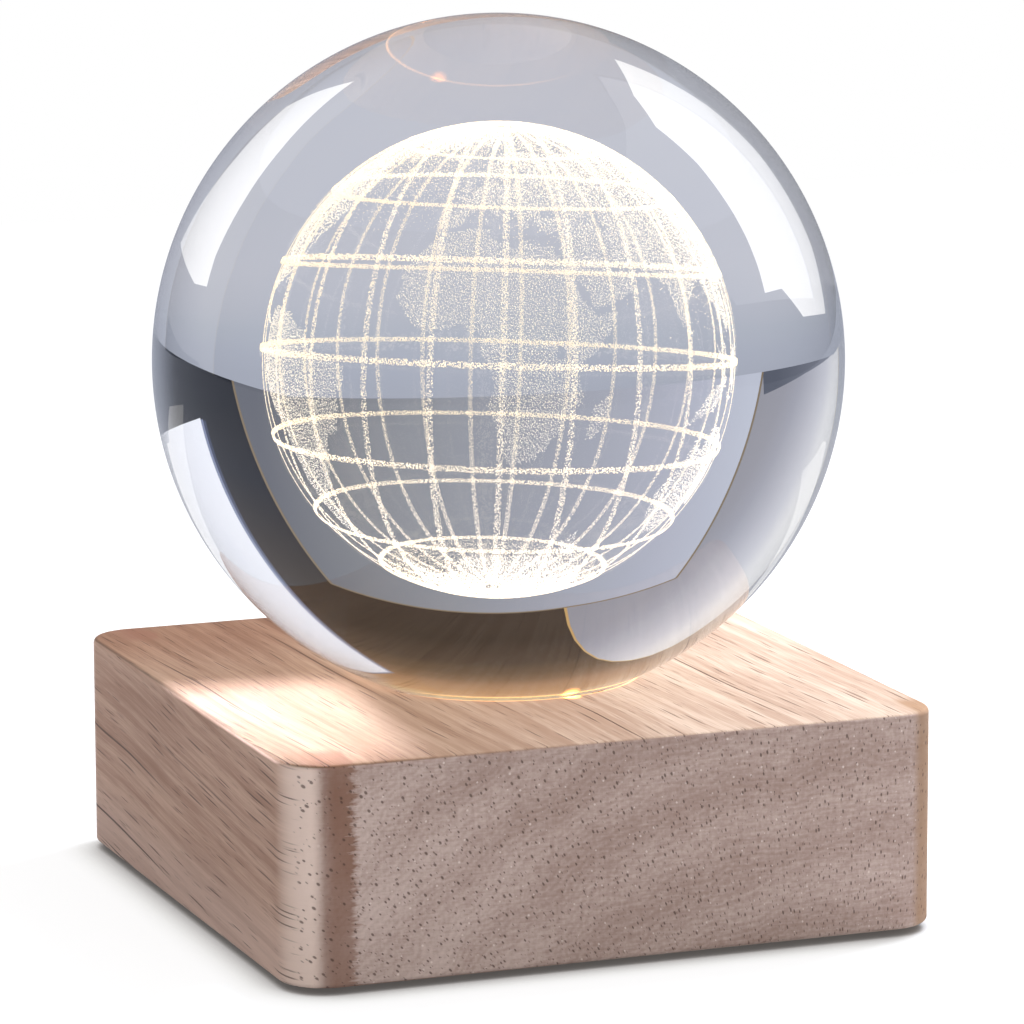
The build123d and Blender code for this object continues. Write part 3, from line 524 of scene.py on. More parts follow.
def sanded_rubberwood(settings):
    """Rubberwood, planed and sanded under a thin matt oil.

    The fibres run from back to front and dip a little to the front. The top and the sides show
    long grain: pale, with the pores cut lengthwise into thin dark dashes. The front and the back
    show end grain: greyer, with the pores as dots and the growth zones as wide arcs."""
    material, add = new_material("sanded_oiled_rubberwood")
    place = add("Mapping", add("TexCoord"), PER_MM)
    x, y, z = add("SeparateXYZ", place, output="all")
    facing = add("SeparateXYZ", add("NewGeometry", output="Normal"), output="all")
    end_grain = add("MapRange", add("absolute", facing["Y"]), 0.5, 0.72)
    top = add("MapRange", add("absolute", facing["Z"]), 0.6, 0.8)

    # Long grain: the place across the fibres, x on the top and z on the sides, with a slow waver
    waver = add("multiply_add", wavering(add, (0.035, 0.018, 0.035), 2.0), 3.2, -1.6)
    on_side = add("multiply_add", y, -0.085, z)
    on_top = add("add", add("multiply_add", y, 0.045, x), 140.0)
    across = add("add", on_side, add("multiply", top, add("subtract", on_top, on_side)))
    across = add("add", across, waver)
    long_place = add("CombineXYZ", across, y)
    streaks = add("TexNoise", add("Mapping", long_place, (0.75, 0.016, 1)), 1.0, 5.0, 0.6)
    fibres = add("TexNoise", add("Mapping", long_place, (5.0, 0.16, 1)), 1.0, 2.0)
    cloud = wavering(add, (0.05, 0.02, 0.05), 2.0)
    tone = weighted_sum(add, -0.88, (fibres, 0.6), (cloud, 0.7), (streaks, 1.4))
    dark, light, end_dark, end_light, pore = (
        (*getattr(settings, name), 1.0)
        for name in ("wood_dark", "wood_light", "end_dark", "end_light", "pore"))
    long_grain = add("Mix", add("MapRange", tone, 0.15, 0.85), dark, light)
    # Pores are about 0.2 mm wide: dashes up to 20 mm long, a few long lines, and faint short ticks
    dashes, lines, ticks = (
        add("multiply", spots(add, long_place, *rest), depth)
        for depth, *rest in (
            (0.8, (0.8, 24.0), 0.12, 0.3, 3.0), (1.0, (1.7, 230.0), 0.085, 0.5, 8.0),
            (0.35, (0.5, 10.0), 0.14, 0.45, 5.0),
        ))
    long_pores = add("maximum", add("maximum", dashes, lines), ticks)

    # End grain: the distance from the heart of the tree, low on the right, and the way round it
    from_heart = add("subtract", x, HEART_X)
    over_heart = add("subtract", z, HEART_Z)
    squared = add("multiply_add", from_heart, from_heart, add("multiply", over_heart, over_heart))
    reach = add("sqrt", squared)
    arc = add("multiply", add("arctan2", from_heart, over_heart), 76.0)
    end_place = add("CombineXYZ", arc, reach)
    bend = add("multiply_add", wavering(add, (0.09, 0.02, 0.09), 2.0), 7.0, reach)
    zone = add("sine", add("multiply", bend, 2 * math.pi * MM / settings.ring_spacing))
    # Thin pale lines follow the growth zones, and the sanding leaves a fine level hatch
    wavy = add("multiply_add", wavering(add, (0.7, 0.05, 0.7), 2.0), 0.9, bend)
    thin = add("sine", add("multiply", wavy, 2 * math.pi / 0.85))
    hatch = wavering(add, (0.35, 0.1, 3.4), 2.0, 0.6)
    grit = wavering(add, (3.0, 0.5, 3.0), 2.0)
    rays = wavering(add, (2.4, 0.3, 0.4), 1.0, 0.5)
    low_left = add("MapRange", add("multiply_add", z, 0.8, x), 8.0, -30.0)
    end_tone = weighted_sum(
        add, -0.51, (hatch, 0.5), (cloud, 0.25), (zone, 0.08), (thin, 0.05), (rays, 0.25),
        (grit, 0.5), (low_left, 0.3))
    end_colour = add("Mix", add("MapRange", end_tone, -0.15, 0.85), end_dark, end_light)
    dots = add("multiply", spots(add, end_place, (0.9, 1.7), 0.12, 0.15, 2.0), 0.85)
    specks = add("multiply", spots(add, end_place, (0.5, 1.4), 0.12, 0.4, 6.0), 0.6)
    end_pores = add("maximum", dots, specks)
    bright = spots(add, end_place, (1.9, 2.1), 0.06, 0.45, 9.0)
    end_colour = add("Mix", add("multiply", bright, 0.6), end_colour, "e6d8cf")

    # Painted light and shade on the rounded corners: on the left a brown band of painted shade
    # beside a pale painted sheen on the turn of the edge, and on the right a painted golden-brown
    # shade
    jag = add("multiply_add", wavering(add, (0.35, 0.1, 1.5), 3.0, 0.7), 4.2, -2.1)
    side = add("absolute", x)
    near_end = add("MapRange", add("absolute", y), 30.0, 33.5)
    on_left = add("MapRange", x, 1.0, -1.0)
    band = product(
        add, add("MapRange", add("add", side, jag), 31.2, 32.3), add("MapRange", side, 37.4, 33.8),
        near_end, on_left, add("MapRange", cloud, 0.2, 0.65, 0.55, 1.0))
    rim = add("multiply", add("MapRange", side, 35.0, 36.6), near_end)
    pale = product(
        add, rim, on_left, add("MapRange", add("absolute", y), 33.0, 37.0),
        add("MapRange", facing["Z"], 0.8, 0.3))
    painted_golden_shade = add("multiply", rim, add("subtract", 1.0, on_left))

    more = add("multiply", end_grain, add("subtract", end_pores, long_pores))
    pores = add("add", long_pores, more)
    # Painted shade on the top: darker to the left, in place of the ball's shadow, and towards the
    # back. The left side is pinker, and paler below
    painted_ball_shadow = add("multiply", top, add("MapRange", add("multiply_add", y, -0.3, x), 34.0, -22.0))
    behind = add("multiply", top, add("MapRange", y, 12.0, 32.0))
    on_end_side = add("MapRange", facing["X"], -0.6, -0.85)
    low_side = add("multiply", on_end_side, add("MapRange", z, 11.0, 3.0))
    colour = add("Mix", end_grain, long_grain, end_colour)
    # The darker top, the darker back, the brown band, the pale sheen and the golden-brown corner
    # are painted light and shade; the two tints of the left side and the pores are not
    for part, share, tint, blend in (
        (painted_ball_shadow, 0.8, "b0967f", "MULTIPLY"), (behind, 0.9, "dfcec3", "MULTIPLY"),
        (on_end_side, 0.85, "f8dfd6", "MULTIPLY"), (low_side, 0.4, "e0c4b6", "MIX"),
        (band, 0.95, "7f5843", "MIX"), (pale, 0.85, "ecd4c5", "MIX"),
        (painted_golden_shade, 0.85, "9c7a5c", "MIX"), (pores, 0.85, pore, "MIX"),
    ):
        colour = add("Mix", add("multiply", part, share), colour, tint, blend_type=blend)

    # Painted light: the wood glows by its own emission round the ball at the rim of the seat, in
    # place of lamp light leaking out there, with a painted spill around it and a painted glint at
    # one place
    around = add("Mapping", add("TexCoord"), (1 / MM, 1 / MM, 0))
    level = add("VectorMath.LENGTH", around)
    seat = product(
        add, add("MapRange", level, SEAT_RIM + 0.35, SEAT_RIM - 0.05),
        add("MapRange", level, SEAT_RIM - 0.3, SEAT_RIM - 0.1))
    painted_glow_spill = add("power", add("MapRange", level, SEAT_RIM + 4.5, SEAT_RIM), 3.0)
    to_front = add("MapRange", add("multiply_add", y, -1.0, add("multiply", x, 0.45)), 0.0, 14.0)
    painted_rim_glow = product(add, to_front, 2.9, seat)
    from_painted_glint = add("VectorMath.DISTANCE", place, tuple(v / MM for v in PAINTED_SEAT_GLINT))
    glow = weighted_sum(add, painted_rim_glow, (painted_glow_spill, 0.08), (add("MapRange", from_painted_glint, 1.5, 0.3), 9.0))
    relief = weighted_sum(add, add("multiply", fibres, 0.25), (hatch, 0.25), (pores, -1.0))
    add("OutputMaterial", add("BsdfPrincipled", inputs={
        "Base Color": colour,
        "Emission Color": add("Mix", seat, "ff9a3d", "ffb765"),
        "Emission Strength": add("multiply", glow, add("MapRange", z, 19.0, 21.5)),
        "Normal": add("Bump", relief, 0.1 * MM, 0.6),
        "Roughness": add("MapRange", streaks, 0.2, 0.8, 0.66, 0.54),
        "IOR": 1.45,
    }))
    return material


def moulded_plastic(name, colour, worn, roughness, grain_mm, depth_mm=0.02):
    """Moulded plastic: an even colour with a fine spark-eroded texture from the mould."""
    material, add = new_material(name)
    cloud = wavering(add, 0.12, 3.0, 0.5)
    add("OutputMaterial", add("BsdfPrincipled", inputs={
        "Base Color": add("Mix", cloud, colour, worn),
        "Normal": add("Bump", wavering(add, 1 / grain_mm, 2.0, 0.5), depth_mm * MM, 0.7),
        "Roughness": add("MapRange", cloud, 0.2, 0.8, roughness + 0.05, roughness - 0.05),
    }))
    return material


def plated_metal(name, colour, dull, roughness, scratch_mm=0.25):
    """Plated metal: a grey mirror broken by fine rolling marks and dull patches."""
    material, add = new_material(name)
    fine = wavering(add, (1 / scratch_mm, 0.15 / scratch_mm, 1 / scratch_mm), 3.0, 0.5)
    patch = wavering(add, 0.5, 3.0, 0.5)
    add("OutputMaterial", add("BsdfPrincipled", inputs={
        "Base Color": add("Mix", patch, colour, dull),
        "Normal": add("Bump", fine, 0.01 * MM, 0.5),
        "Roughness": add("MapRange", patch, 0.25, 0.75, roughness - 0.08, roughness + 0.1),
        "Metallic": 1.0,
    }))
    return material


def solder_mask(name, mask, track):
    """A printed board: glossy solder mask over copper tracks that show through as paler lines."""
    material, add = new_material(name)
    tracks = add("TexBrick", inputs={
        "Vector": add("Mapping", add("TexCoord"), PER_MM), "Scale": 0.42, "Mortar Size": 0.06,
        "Color1": mask, "Color2": mask, "Mortar": track,
    }, output="all", offset=0.37, squash=1.4)
    weave = add("ValToRGB", wavering(add, 2.2, 2.0, 0.5), stops=[(0.3, mask), (0.7, track)])
    add("OutputMaterial", add("BsdfPrincipled", inputs={
        "Base Color": add("Mix", 0.25, tracks["Color"], weave),
        "Normal": add("Bump", tracks["Fac"], -0.035 * MM, 0.8),
        "Roughness": 0.28,
    }))
    return material


def lit_phosphor():
    """A white LED: yellow phosphor in a moulded frame, bright in the middle when lit."""
    material, add = new_material("led_phosphor_lit")
    cells = wavering(add, 3.0, 2.0, 0.5)
    add("OutputMaterial", add("BsdfPrincipled", inputs={
        "Base Color": add("ValToRGB", cells, stops=[(0.3, "ffd36b"), (0.7, "ffe7a6")]),
        "Emission Color": add("ValToRGB", cells, stops=[(0.3, "ffd9a0"), (0.7, "fff0d2")]),
        "Emission Strength": 2.5, "Roughness": 0.35,
    }))
    return material


def clear_acrylic():
    """Cast acrylic, cut and polished: clear, with a trace of dust in its lower face."""
    material, add = new_material("polished_clear_acrylic")
    dust = wavering(add, 0.6, 4.0, 0.5)
    add("OutputMaterial", add("BsdfPrincipled", inputs={
        "Base Color": add("ValToRGB", dust, stops=[(0.3, "f6f3ee"), (0.7, "ffffff")]),
        "Roughness": add("MapRange", dust, 0.35, 0.75, 0.03, 0.09),
        "Transmission Weight": 1.0, "IOR": 1.49,
    }))
    return material


# Geometry tools


def marks_tree(name, seed, material, veil):
    """A Geometry Nodes tree that scatters small four-sided marks over a strip, and keeps the strip
    as the veil of the marks that are too fine to see."""
    tree = bpy.data.node_groups.new(name, "GeometryNodeTree")
    _, density, size, _ = (
        tree.interface.new_socket(label, in_out=way, socket_type="NodeSocket" + kind)
        for label, way, kind in (
            ("Geometry", "INPUT", "Geometry"), ("Marks per square metre", "INPUT", "Float"),
            ("Mark size", "INPUT", "Float"), ("Geometry", "OUTPUT", "Geometry"),
        ))
    add = functools.partial(add_node, tree)
    strip, per_area, mark_size = add("NodeGroupInput", output="all")[:3]
    points = add("GeometryNodeDistributePointsOnFaces", strip, inputs={
        "Density": add("multiply", per_area, add("GeometryNodeInputNamedAttribute", "density")),
        "Seed": seed,
    }, distribute_method="RANDOM")
    cone = add("GeometryNodeMeshCone", inputs={
        "Vertices": 3, "Radius Top": 0.0, "Radius Bottom": 0.55, "Depth": 0.85,
    }, fill_type="NGON")
    centred = add("GeometryNodeTransform", cone, inputs={"Translation": (0, 0, -0.3)})
    mark = add("GeometryNodeStoreNamedAttribute", centred, inputs={
        "Name": "mark", "Value": 1.0,
    }, data_type="FLOAT", domain="FACE")
    turn = add("FunctionNodeRandomValue", inputs={
        "Min": (0, 0, 0), "Max": (6.28, 6.28, 6.28), "Seed": seed + 1,
    }, data_type="FLOAT_VECTOR")
    growth = add("FunctionNodeRandomValue", inputs={
        2: 0.65, 3: 1.35, "Seed": seed + 2,
    }, output=1, data_type="FLOAT")
    marks = add("GeometryNodeInstanceOnPoints", inputs={
        "Points": points, "Instance": mark, "Rotation": turn,
        "Scale": add("multiply", growth, mark_size),
    })
    both = add("GeometryNodeJoinGeometry", marks)
    tree.links.new(strip, both.node.inputs[0])
    real = add("GeometryNodeRealizeInstances", both)
    veiled = add("GeometryNodeSetMaterial", real, inputs={"Material": veil})
    is_mark = add("GeometryNodeInputNamedAttribute", "mark")
    add("NodeGroupOutput", add("GeometryNodeSetMaterial", veiled, is_mark, material))
    return tree, density.identifier, size.identifier


def scatter_marks(name, strips, count, size, seed, material, veil):
    """Marks scattered over strips of the globe, given by their points, faces and densities, as one
    plain mesh."""
    points, faces, weights = strips
    mesh = mesh_from(name + "_strip", points, faces)
    attribute = mesh.attributes.new("density", "FLOAT", "POINT")
    attribute.data.foreach_set("value", weights)
    total = 0.0
    for polygon in mesh.polygons:
        total += polygon.area * sum(weights[v] for v in polygon.vertices) / len(polygon.vertices)
    strip = link_object(name + "_strip", mesh)
    tree, density_input, size_input = marks_tree(name, seed, material, veil)
    modifier = strip.modifiers.new("marks", "NODES")
    modifier.node_group = tree
    modifier[density_input] = float(count / total)
    modifier[size_input] = float(size)
    graph = bpy.context.evaluated_depsgraph_get()
    marks = bpy.data.meshes.new_from_object(strip.evaluated_get(graph))
    marks.name = name
    bpy.data.objects.remove(strip)
    bpy.data.meshes.remove(mesh)
    if not marks.polygons:
        raise RuntimeError(name + " has no marks")
    return link_object(name, marks)


# Operators


class GLOBEAWARD_OT_stage(bpy.types.Operator):
    """Make the floor, the light and the camera"""

    bl_idname = "globe_award.stage"
    bl_label = "Stage, light and camera"

    def execute(self, context):
        settings = context.scene.globe_award_stage
        context.scene.view_settings.view_transform = "Standard"
        self.make_floor()
        self.make_world(context, settings)
        self.make_cards()
        self.make_lamps(settings)
        self.make_camera(context, settings)
        return {"FINISHED"}

    def make_floor(self):
        """White acrylic sheet: plain white with a close soft shadow to the camera, and pale grey
        in the glass. The shadow is the light that the object keeps from the sheet."""
        half = 0.56
        points = [(-half, -half, 0), (half, -half, 0), (half, half, 0), (-half, half, 0)]
        floor = link_object("stage_floor", mesh_from("stage_floor", points, [(0, 1, 2, 3)]))
        material, add = new_material("stage_white_sheet")
        path = add("LightPath", output="all")
        open_air = add("AmbientOcclusion", inputs={"Distance": 5.5 * MM}, output="AO", samples=8)
        shade = add("ValToRGB", open_air, stops=[
            (0.25, "524f4d"), (0.45, "96918e"), (0.58, "c9c7c6"), (0.78, "eeeeec"),
            (0.95, "ffffff"),
        ])
        seen = add("AddShader", add("Emission", shade, 0.84), add("BsdfDiffuse", "8c8c8c"))
        matt = add("BsdfDiffuse", "d2d2d2")
        away = add("VectorMath.LENGTH", add("TexCoord"))
        through = add("Emission", add("ValToRGB", away, stops=[
            (0.05, "c3c5ce"), (0.19, "c3c5cf"), (0.25, "bdc0cb"), (0.31, "b5bac6"),
            (0.4, "b0b5c3"), (0.55, "acb1bf"),
        ]))
        direct = add("MixShader", path["Is Camera Ray"], matt, seen)
        bounced = add("maximum", path["Is Transmission Ray"], path["Is Glossy Ray"])
        add("OutputMaterial", add("MixShader", bounced, direct, through))
        floor.data.materials.append(material)

    def make_world(self, context, settings):
        """White behind the object, an even pale light on it, and a dim studio in its glass.

        Through the glass the studio is dark at the level of the ball, warm and bright overhead,
        and paler on the left. A mirror on the outside sees it pale all round."""
        world = bpy.data.worlds.new("studio")
        context.scene.world = world
        add = start_tree(world)
        path = add("LightPath", output="all")
        way = add("TexCoord", output="Generated")
        height = add("SeparateXYZ", way, output="Z")
        leftward = Vector((-math.cos(HEADING_OF_VIEW), math.sin(HEADING_OF_VIEW), 0))
        left = add("VectorMath.DOT_PRODUCT", way, tuple(leftward))
        studio = add("ValToRGB", height, stops=[
            (0.0, "23252c"), (0.14, "262932"), (0.41, "3f362f"), (0.53, "352f28"),
            (0.64, "463b30"), (0.7, "614e39"), (0.745, "826548"), (0.79, "ae845d"),
            (0.83, "c49564"), (0.866, "e0aa70"), (0.9, "fbe0a2"), (0.94, "fff4cc"),
        ])
        pale = add("ValToRGB", height, stops=[
            (0.0, "bcbec6"), (0.6, "b8bac2"), (0.7, "cfbeac"), (0.85, "d4b898"),
        ])
        right = product(
            add, add("MapRange", left, -0.28, -0.42), add("MapRange", height, 0.8, 0.85))
        for share, colour in (
            (add("MapRange", left, 0.32, 0.62), pale), (right, "d2c6bc"),
            (add("MapRange", left, -0.84, -1.0), "7c8290"),
        ):
            studio = add("Mix", share, studio, colour)
        mirrored = add("ValToRGB", height, stops=[
            (0.0, "7d808b"), (0.3, "b2b5c0"), (0.9, "c2c5d0"),
        ])
        seen = add("Background", "fdfdff", settings.fill)
        for kind, colour in (("Glossy", mirrored), ("Transmission", studio), ("Camera", "ffffff")):
            seen = add("MixShader", path["Is %s Ray" % kind], seen, add("Background", colour, 1.0))
        add("OutputWorld", seen)

    def make_cards(self):
        """Soft boxes and a small backdrop that only glass and gloss see.

        Each is given by its corners as seen from the ball: degrees to the right of the way that
        the camera looks, and degrees above the floor. Its tone runs from its first to its second
        place. The thin cards behind their edges are the colours that the glass splits off."""
        left_box = [
            (-73, -9), (-50, -9), (-37, -9), (-26, 22), (-9.3, 23.8), (-10.5, 28), (-12.5, 32.5),
            (-15.5, 37), (-19.5, 41), (-24.5, 44), (-30.5, 46), (-37, 46.8), (-43.5, 46),
            (-49, 43.5), (-54.5, 40), (-60.5, 36), (-65, 30.5), (-68.5, 24), (-71.3, 16),
            (-72.7, 6),
        ]
        right_box = [
            (47.4, 1.8), (91, 13), (104, 30), (98, 56), (60, 57), (40, 54.5), (27.8, 49.6),
            (31, 43.5), (34.2, 37), (37.3, 29.5), (40.3, 21.5), (43.4, 13),
        ]
        backdrop = [(-37, -9), (38, -9), (24.5, 22.4), (-10, 23.4), (-26, 22)]
        box_tones = [
            (0.0, "96969f"), (0.2, "9c9ca6"), (0.32, "a6a7b3"), (0.47, "bebfca"), (0.64, "dadbe4"),
            (0.8, "fafafc"), (0.95, "ffffff"),
        ]
        backdrop_tones = [
            (0.0, "c4c9d8"), (0.2, "b7bac9"), (0.44, "a3a6b2"), (0.61, "94979f"), (0.8, "85878d"),
            (1.0, "6c6f79"),
        ]
        for name, corners, distance, places, strength, tones in (
            ("card_backdrop", backdrop, 2.6, [(-32, 8), (29, 8)], 1.0, backdrop_tones),
            ("card_backdrop_edge", self.spread(backdrop, 1.018), 2.7, [(0, 0), (10, 20)], 1.0,
             [(0.0, "84755f"), (1.0, "8c7c66")]),
            ("card_box_foot", [(-74, -9), (-36, -9), (-36.5, -2.9), (-50, -4), (-64, -4.4)], 2.9,
             [(-70, 0), (-40, 0)], 1.0, [(0.0, "8c909e"), (1.0, "565b69")]),
            ("card_soft_box_right", right_box, 3.0, [(50, 20), (70, 30)], 1.2,
             [(0.0, "f0f2fa"), (1.0, "f4f6fd")]),
            ("card_soft_box_left", left_box, 3.1, [(-22, 14), (-54, 34)], 1.0, box_tones),
            ("card_blue_edge_near", [(a - 0.9, e) for a, e in right_box], 3.2,
             [(30, 40), (45, 5)], 1.0, [(0.0, "b8bfd6"), (1.0, "8a93b4")]),
            ("card_blue_edge_far", [(a - 1.9, e) for a, e in right_box], 3.3,
             [(26, 45), (42, 5)], 1.0, [(0.0, "8e8a8e"), (0.35, "787f98"), (1.0, "444c66")]),
            ("card_gold_edge", self.spread(left_box, 1.013), 3.35, [(-12, 30), (-50, 40)], 1.0,
             [(0.0, "c9a46a"), (1.0, "f6dca0")]),
        ):
            points = [self.in_the_ball_view(*corner, distance) for corner in corners]
            ends = [self.in_the_ball_view(*place, distance) for place in places]
            self.make_card(name, points, ends, tones, strength)
        # Two white cards on the floor, seen only by glass and gloss, are painted reflections of
        # the soft boxes in the floor
        for name, corners in (
            ("card_floor_left", [
                (6, 71), (9, 92), (8, 107), (-1, 121), (-13, 146), (-21, 164), (-31, 189),
                (-44, 225), (-60, 213), (-117, 265), (-181, 242), (-119, 171), (-86, 133),
                (-62, 112), (-34, 89), (-15, 78)]),
            ("card_floor_right", [
                (51, 63), (57, 54), (63, 47), (85, 45), (100, 41), (120, 35), (151, 26), (190, 88),
                (186, 107), (148, 93), (104, 81), (78, 73), (59, 66)]),
        ):
            points = [Vector((x, y, 0.2)) * MM for x, y in corners]
            ends = points[0], points[-1]
            self.make_card(name, points, ends, [(0.0, "ffffff"), (1.0, "fdfdff")], 1.15)

    def spread(self, corners, factor):
        """Corners moved away from their middle."""
        middle = [sum(values) / len(corners) for values in zip(*corners)]
        return [tuple(m + (c - m) * factor for c, m in zip(corner, middle)) for corner in corners]

    def in_the_ball_view(self, turn, rise, distance):
        """A point at a distance from the ball's centre, by its direction."""
        way = direction(math.radians(turn) + HEADING_OF_VIEW, math.radians(rise))
        return ball_centre + distance * way

    def make_card(self, name, points, ends, tones, strength):
        """A flat lit card whose tone runs from the first of its ends to the second."""
        card = link_object(name, mesh_from(name, points, [tuple(range(len(points)))]))
        material, add = new_material(name)
        start, stop = ends
        way = (stop - start) / (stop - start).length_squared
        along = add("VectorMath.DOT_PRODUCT", add("TexCoord"), tuple(way))
        tone = add("ValToRGB", add("subtract", along, start.dot(way)), stops=tones)
        add("OutputMaterial", add("Emission", tone, strength))
        card.data.materials.append(material)
        for flag in ("camera", "diffuse", "shadow", "volume_scatter"):
            setattr(card, "visible_" + flag, False)

    def make_lamps(self, settings):
        """A soft box above on the right, a weak one far in front, and the patch of light that the
        ball focuses on the top of the base. Neither the camera nor glass nor gloss sees them."""
        patch = Vector((-33.5 * MM, -16.5 * MM, wood_top))
        reach, rise = 0.12, math.radians(31)
        from_behind = Vector((0.12, math.cos(rise), math.sin(rise))).normalized()
        for name, place, target, energy, size, spread, colour in (
            ("soft_box_key", Vector((0.17, 0.08, 0.2)), Vector((0.02, 0.0, 0.026)), settings.key,
             (0.12, 0.12), 180, "f0f4ff"),
            ("soft_box_front", Vector((0.3, -0.9, 0.3)), Vector((0, 0, 0.02)), 1.6,
             (0.7, 0.7), 180, "ffffff"),
            ("focused_patch", patch + from_behind * reach, patch, 0.017,
             (0.022, 0.02), 5, "d6e4ff"),
        ):
            lamp = bpy.data.lights.new(name, "AREA")
            lamp.shape = "RECTANGLE"
            lamp.size, lamp.size_y = size
            lamp.spread = math.radians(spread)
            lamp.energy = energy
            lamp.color = linear(colour)[:3]
            light = bpy.data.objects.new(name, lamp)
            light.location = place
            light.rotation_euler = (target - place).to_track_quat("-Z", "Y").to_euler()
            for flag in ("camera", "glossy", "transmission"):
                setattr(light, "visible_" + flag, False)
            bpy.context.collection.objects.link(light)

    def make_camera(self, context, settings):
        """The viewpoint of the photograph, worked out from the outlines of ball and base."""
        azimuth, elevation, yaw, pitch, roll = (
            math.radians(angle) for angle in (-20.81, 9.32, -0.130, 1.497, -0.174))
        distance = 0.6732
        place = ball_centre - direction(-azimuth, -elevation) * distance
        turned = azimuth + yaw
        backward = -direction(-turned, -elevation - pitch)
        right = Vector((math.cos(turned), math.sin(turned), 0))
        up = backward.cross(right)
        across = right * math.cos(roll) + up * math.sin(roll)
        upward = up * math.cos(roll) - right * math.sin(roll)
        lens = bpy.data.cameras.new("camera")
        lens.type = "PERSP"
        lens.sensor_fit = "HORIZONTAL"
        lens.sensor_width = 36.0
        lens.lens = settings.focal_length
        lens.clip_start = 0.01
        lens.clip_end = 20.0
        camera = bpy.data.objects.new("camera", lens)
        context.collection.objects.link(camera)
        turn = Matrix((across, upward, backward)).transposed().to_4x4()
        camera.matrix_world = Matrix.Translation(place) @ turn
        context.scene.camera = camera


class GLOBEAWARD_OT_crystal_ball(bpy.types.Operator):
    """Make the polished crystal ball"""

    bl_idname = "globe_award.crystal_ball"
    bl_label = "Crystal ball"

    def execute(self, context):
        settings = context.scene.globe_award_ball
        shape = bmesh.new()
        bmesh.ops.create_icosphere(shape, subdivisions=7, radius=ball_radius)
        bmesh.ops.translate(shape, verts=shape.verts, vec=ball_centre)
        ball = smooth_object("polished_ball", shape)
        # Clear glass lets the light of the lamps through
        ball.visible_shadow = False
        ball.data.materials.append(crystal_glass(settings))
        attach(ball, "ball")
        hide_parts("crystal_ball")
        return {"FINISHED"}


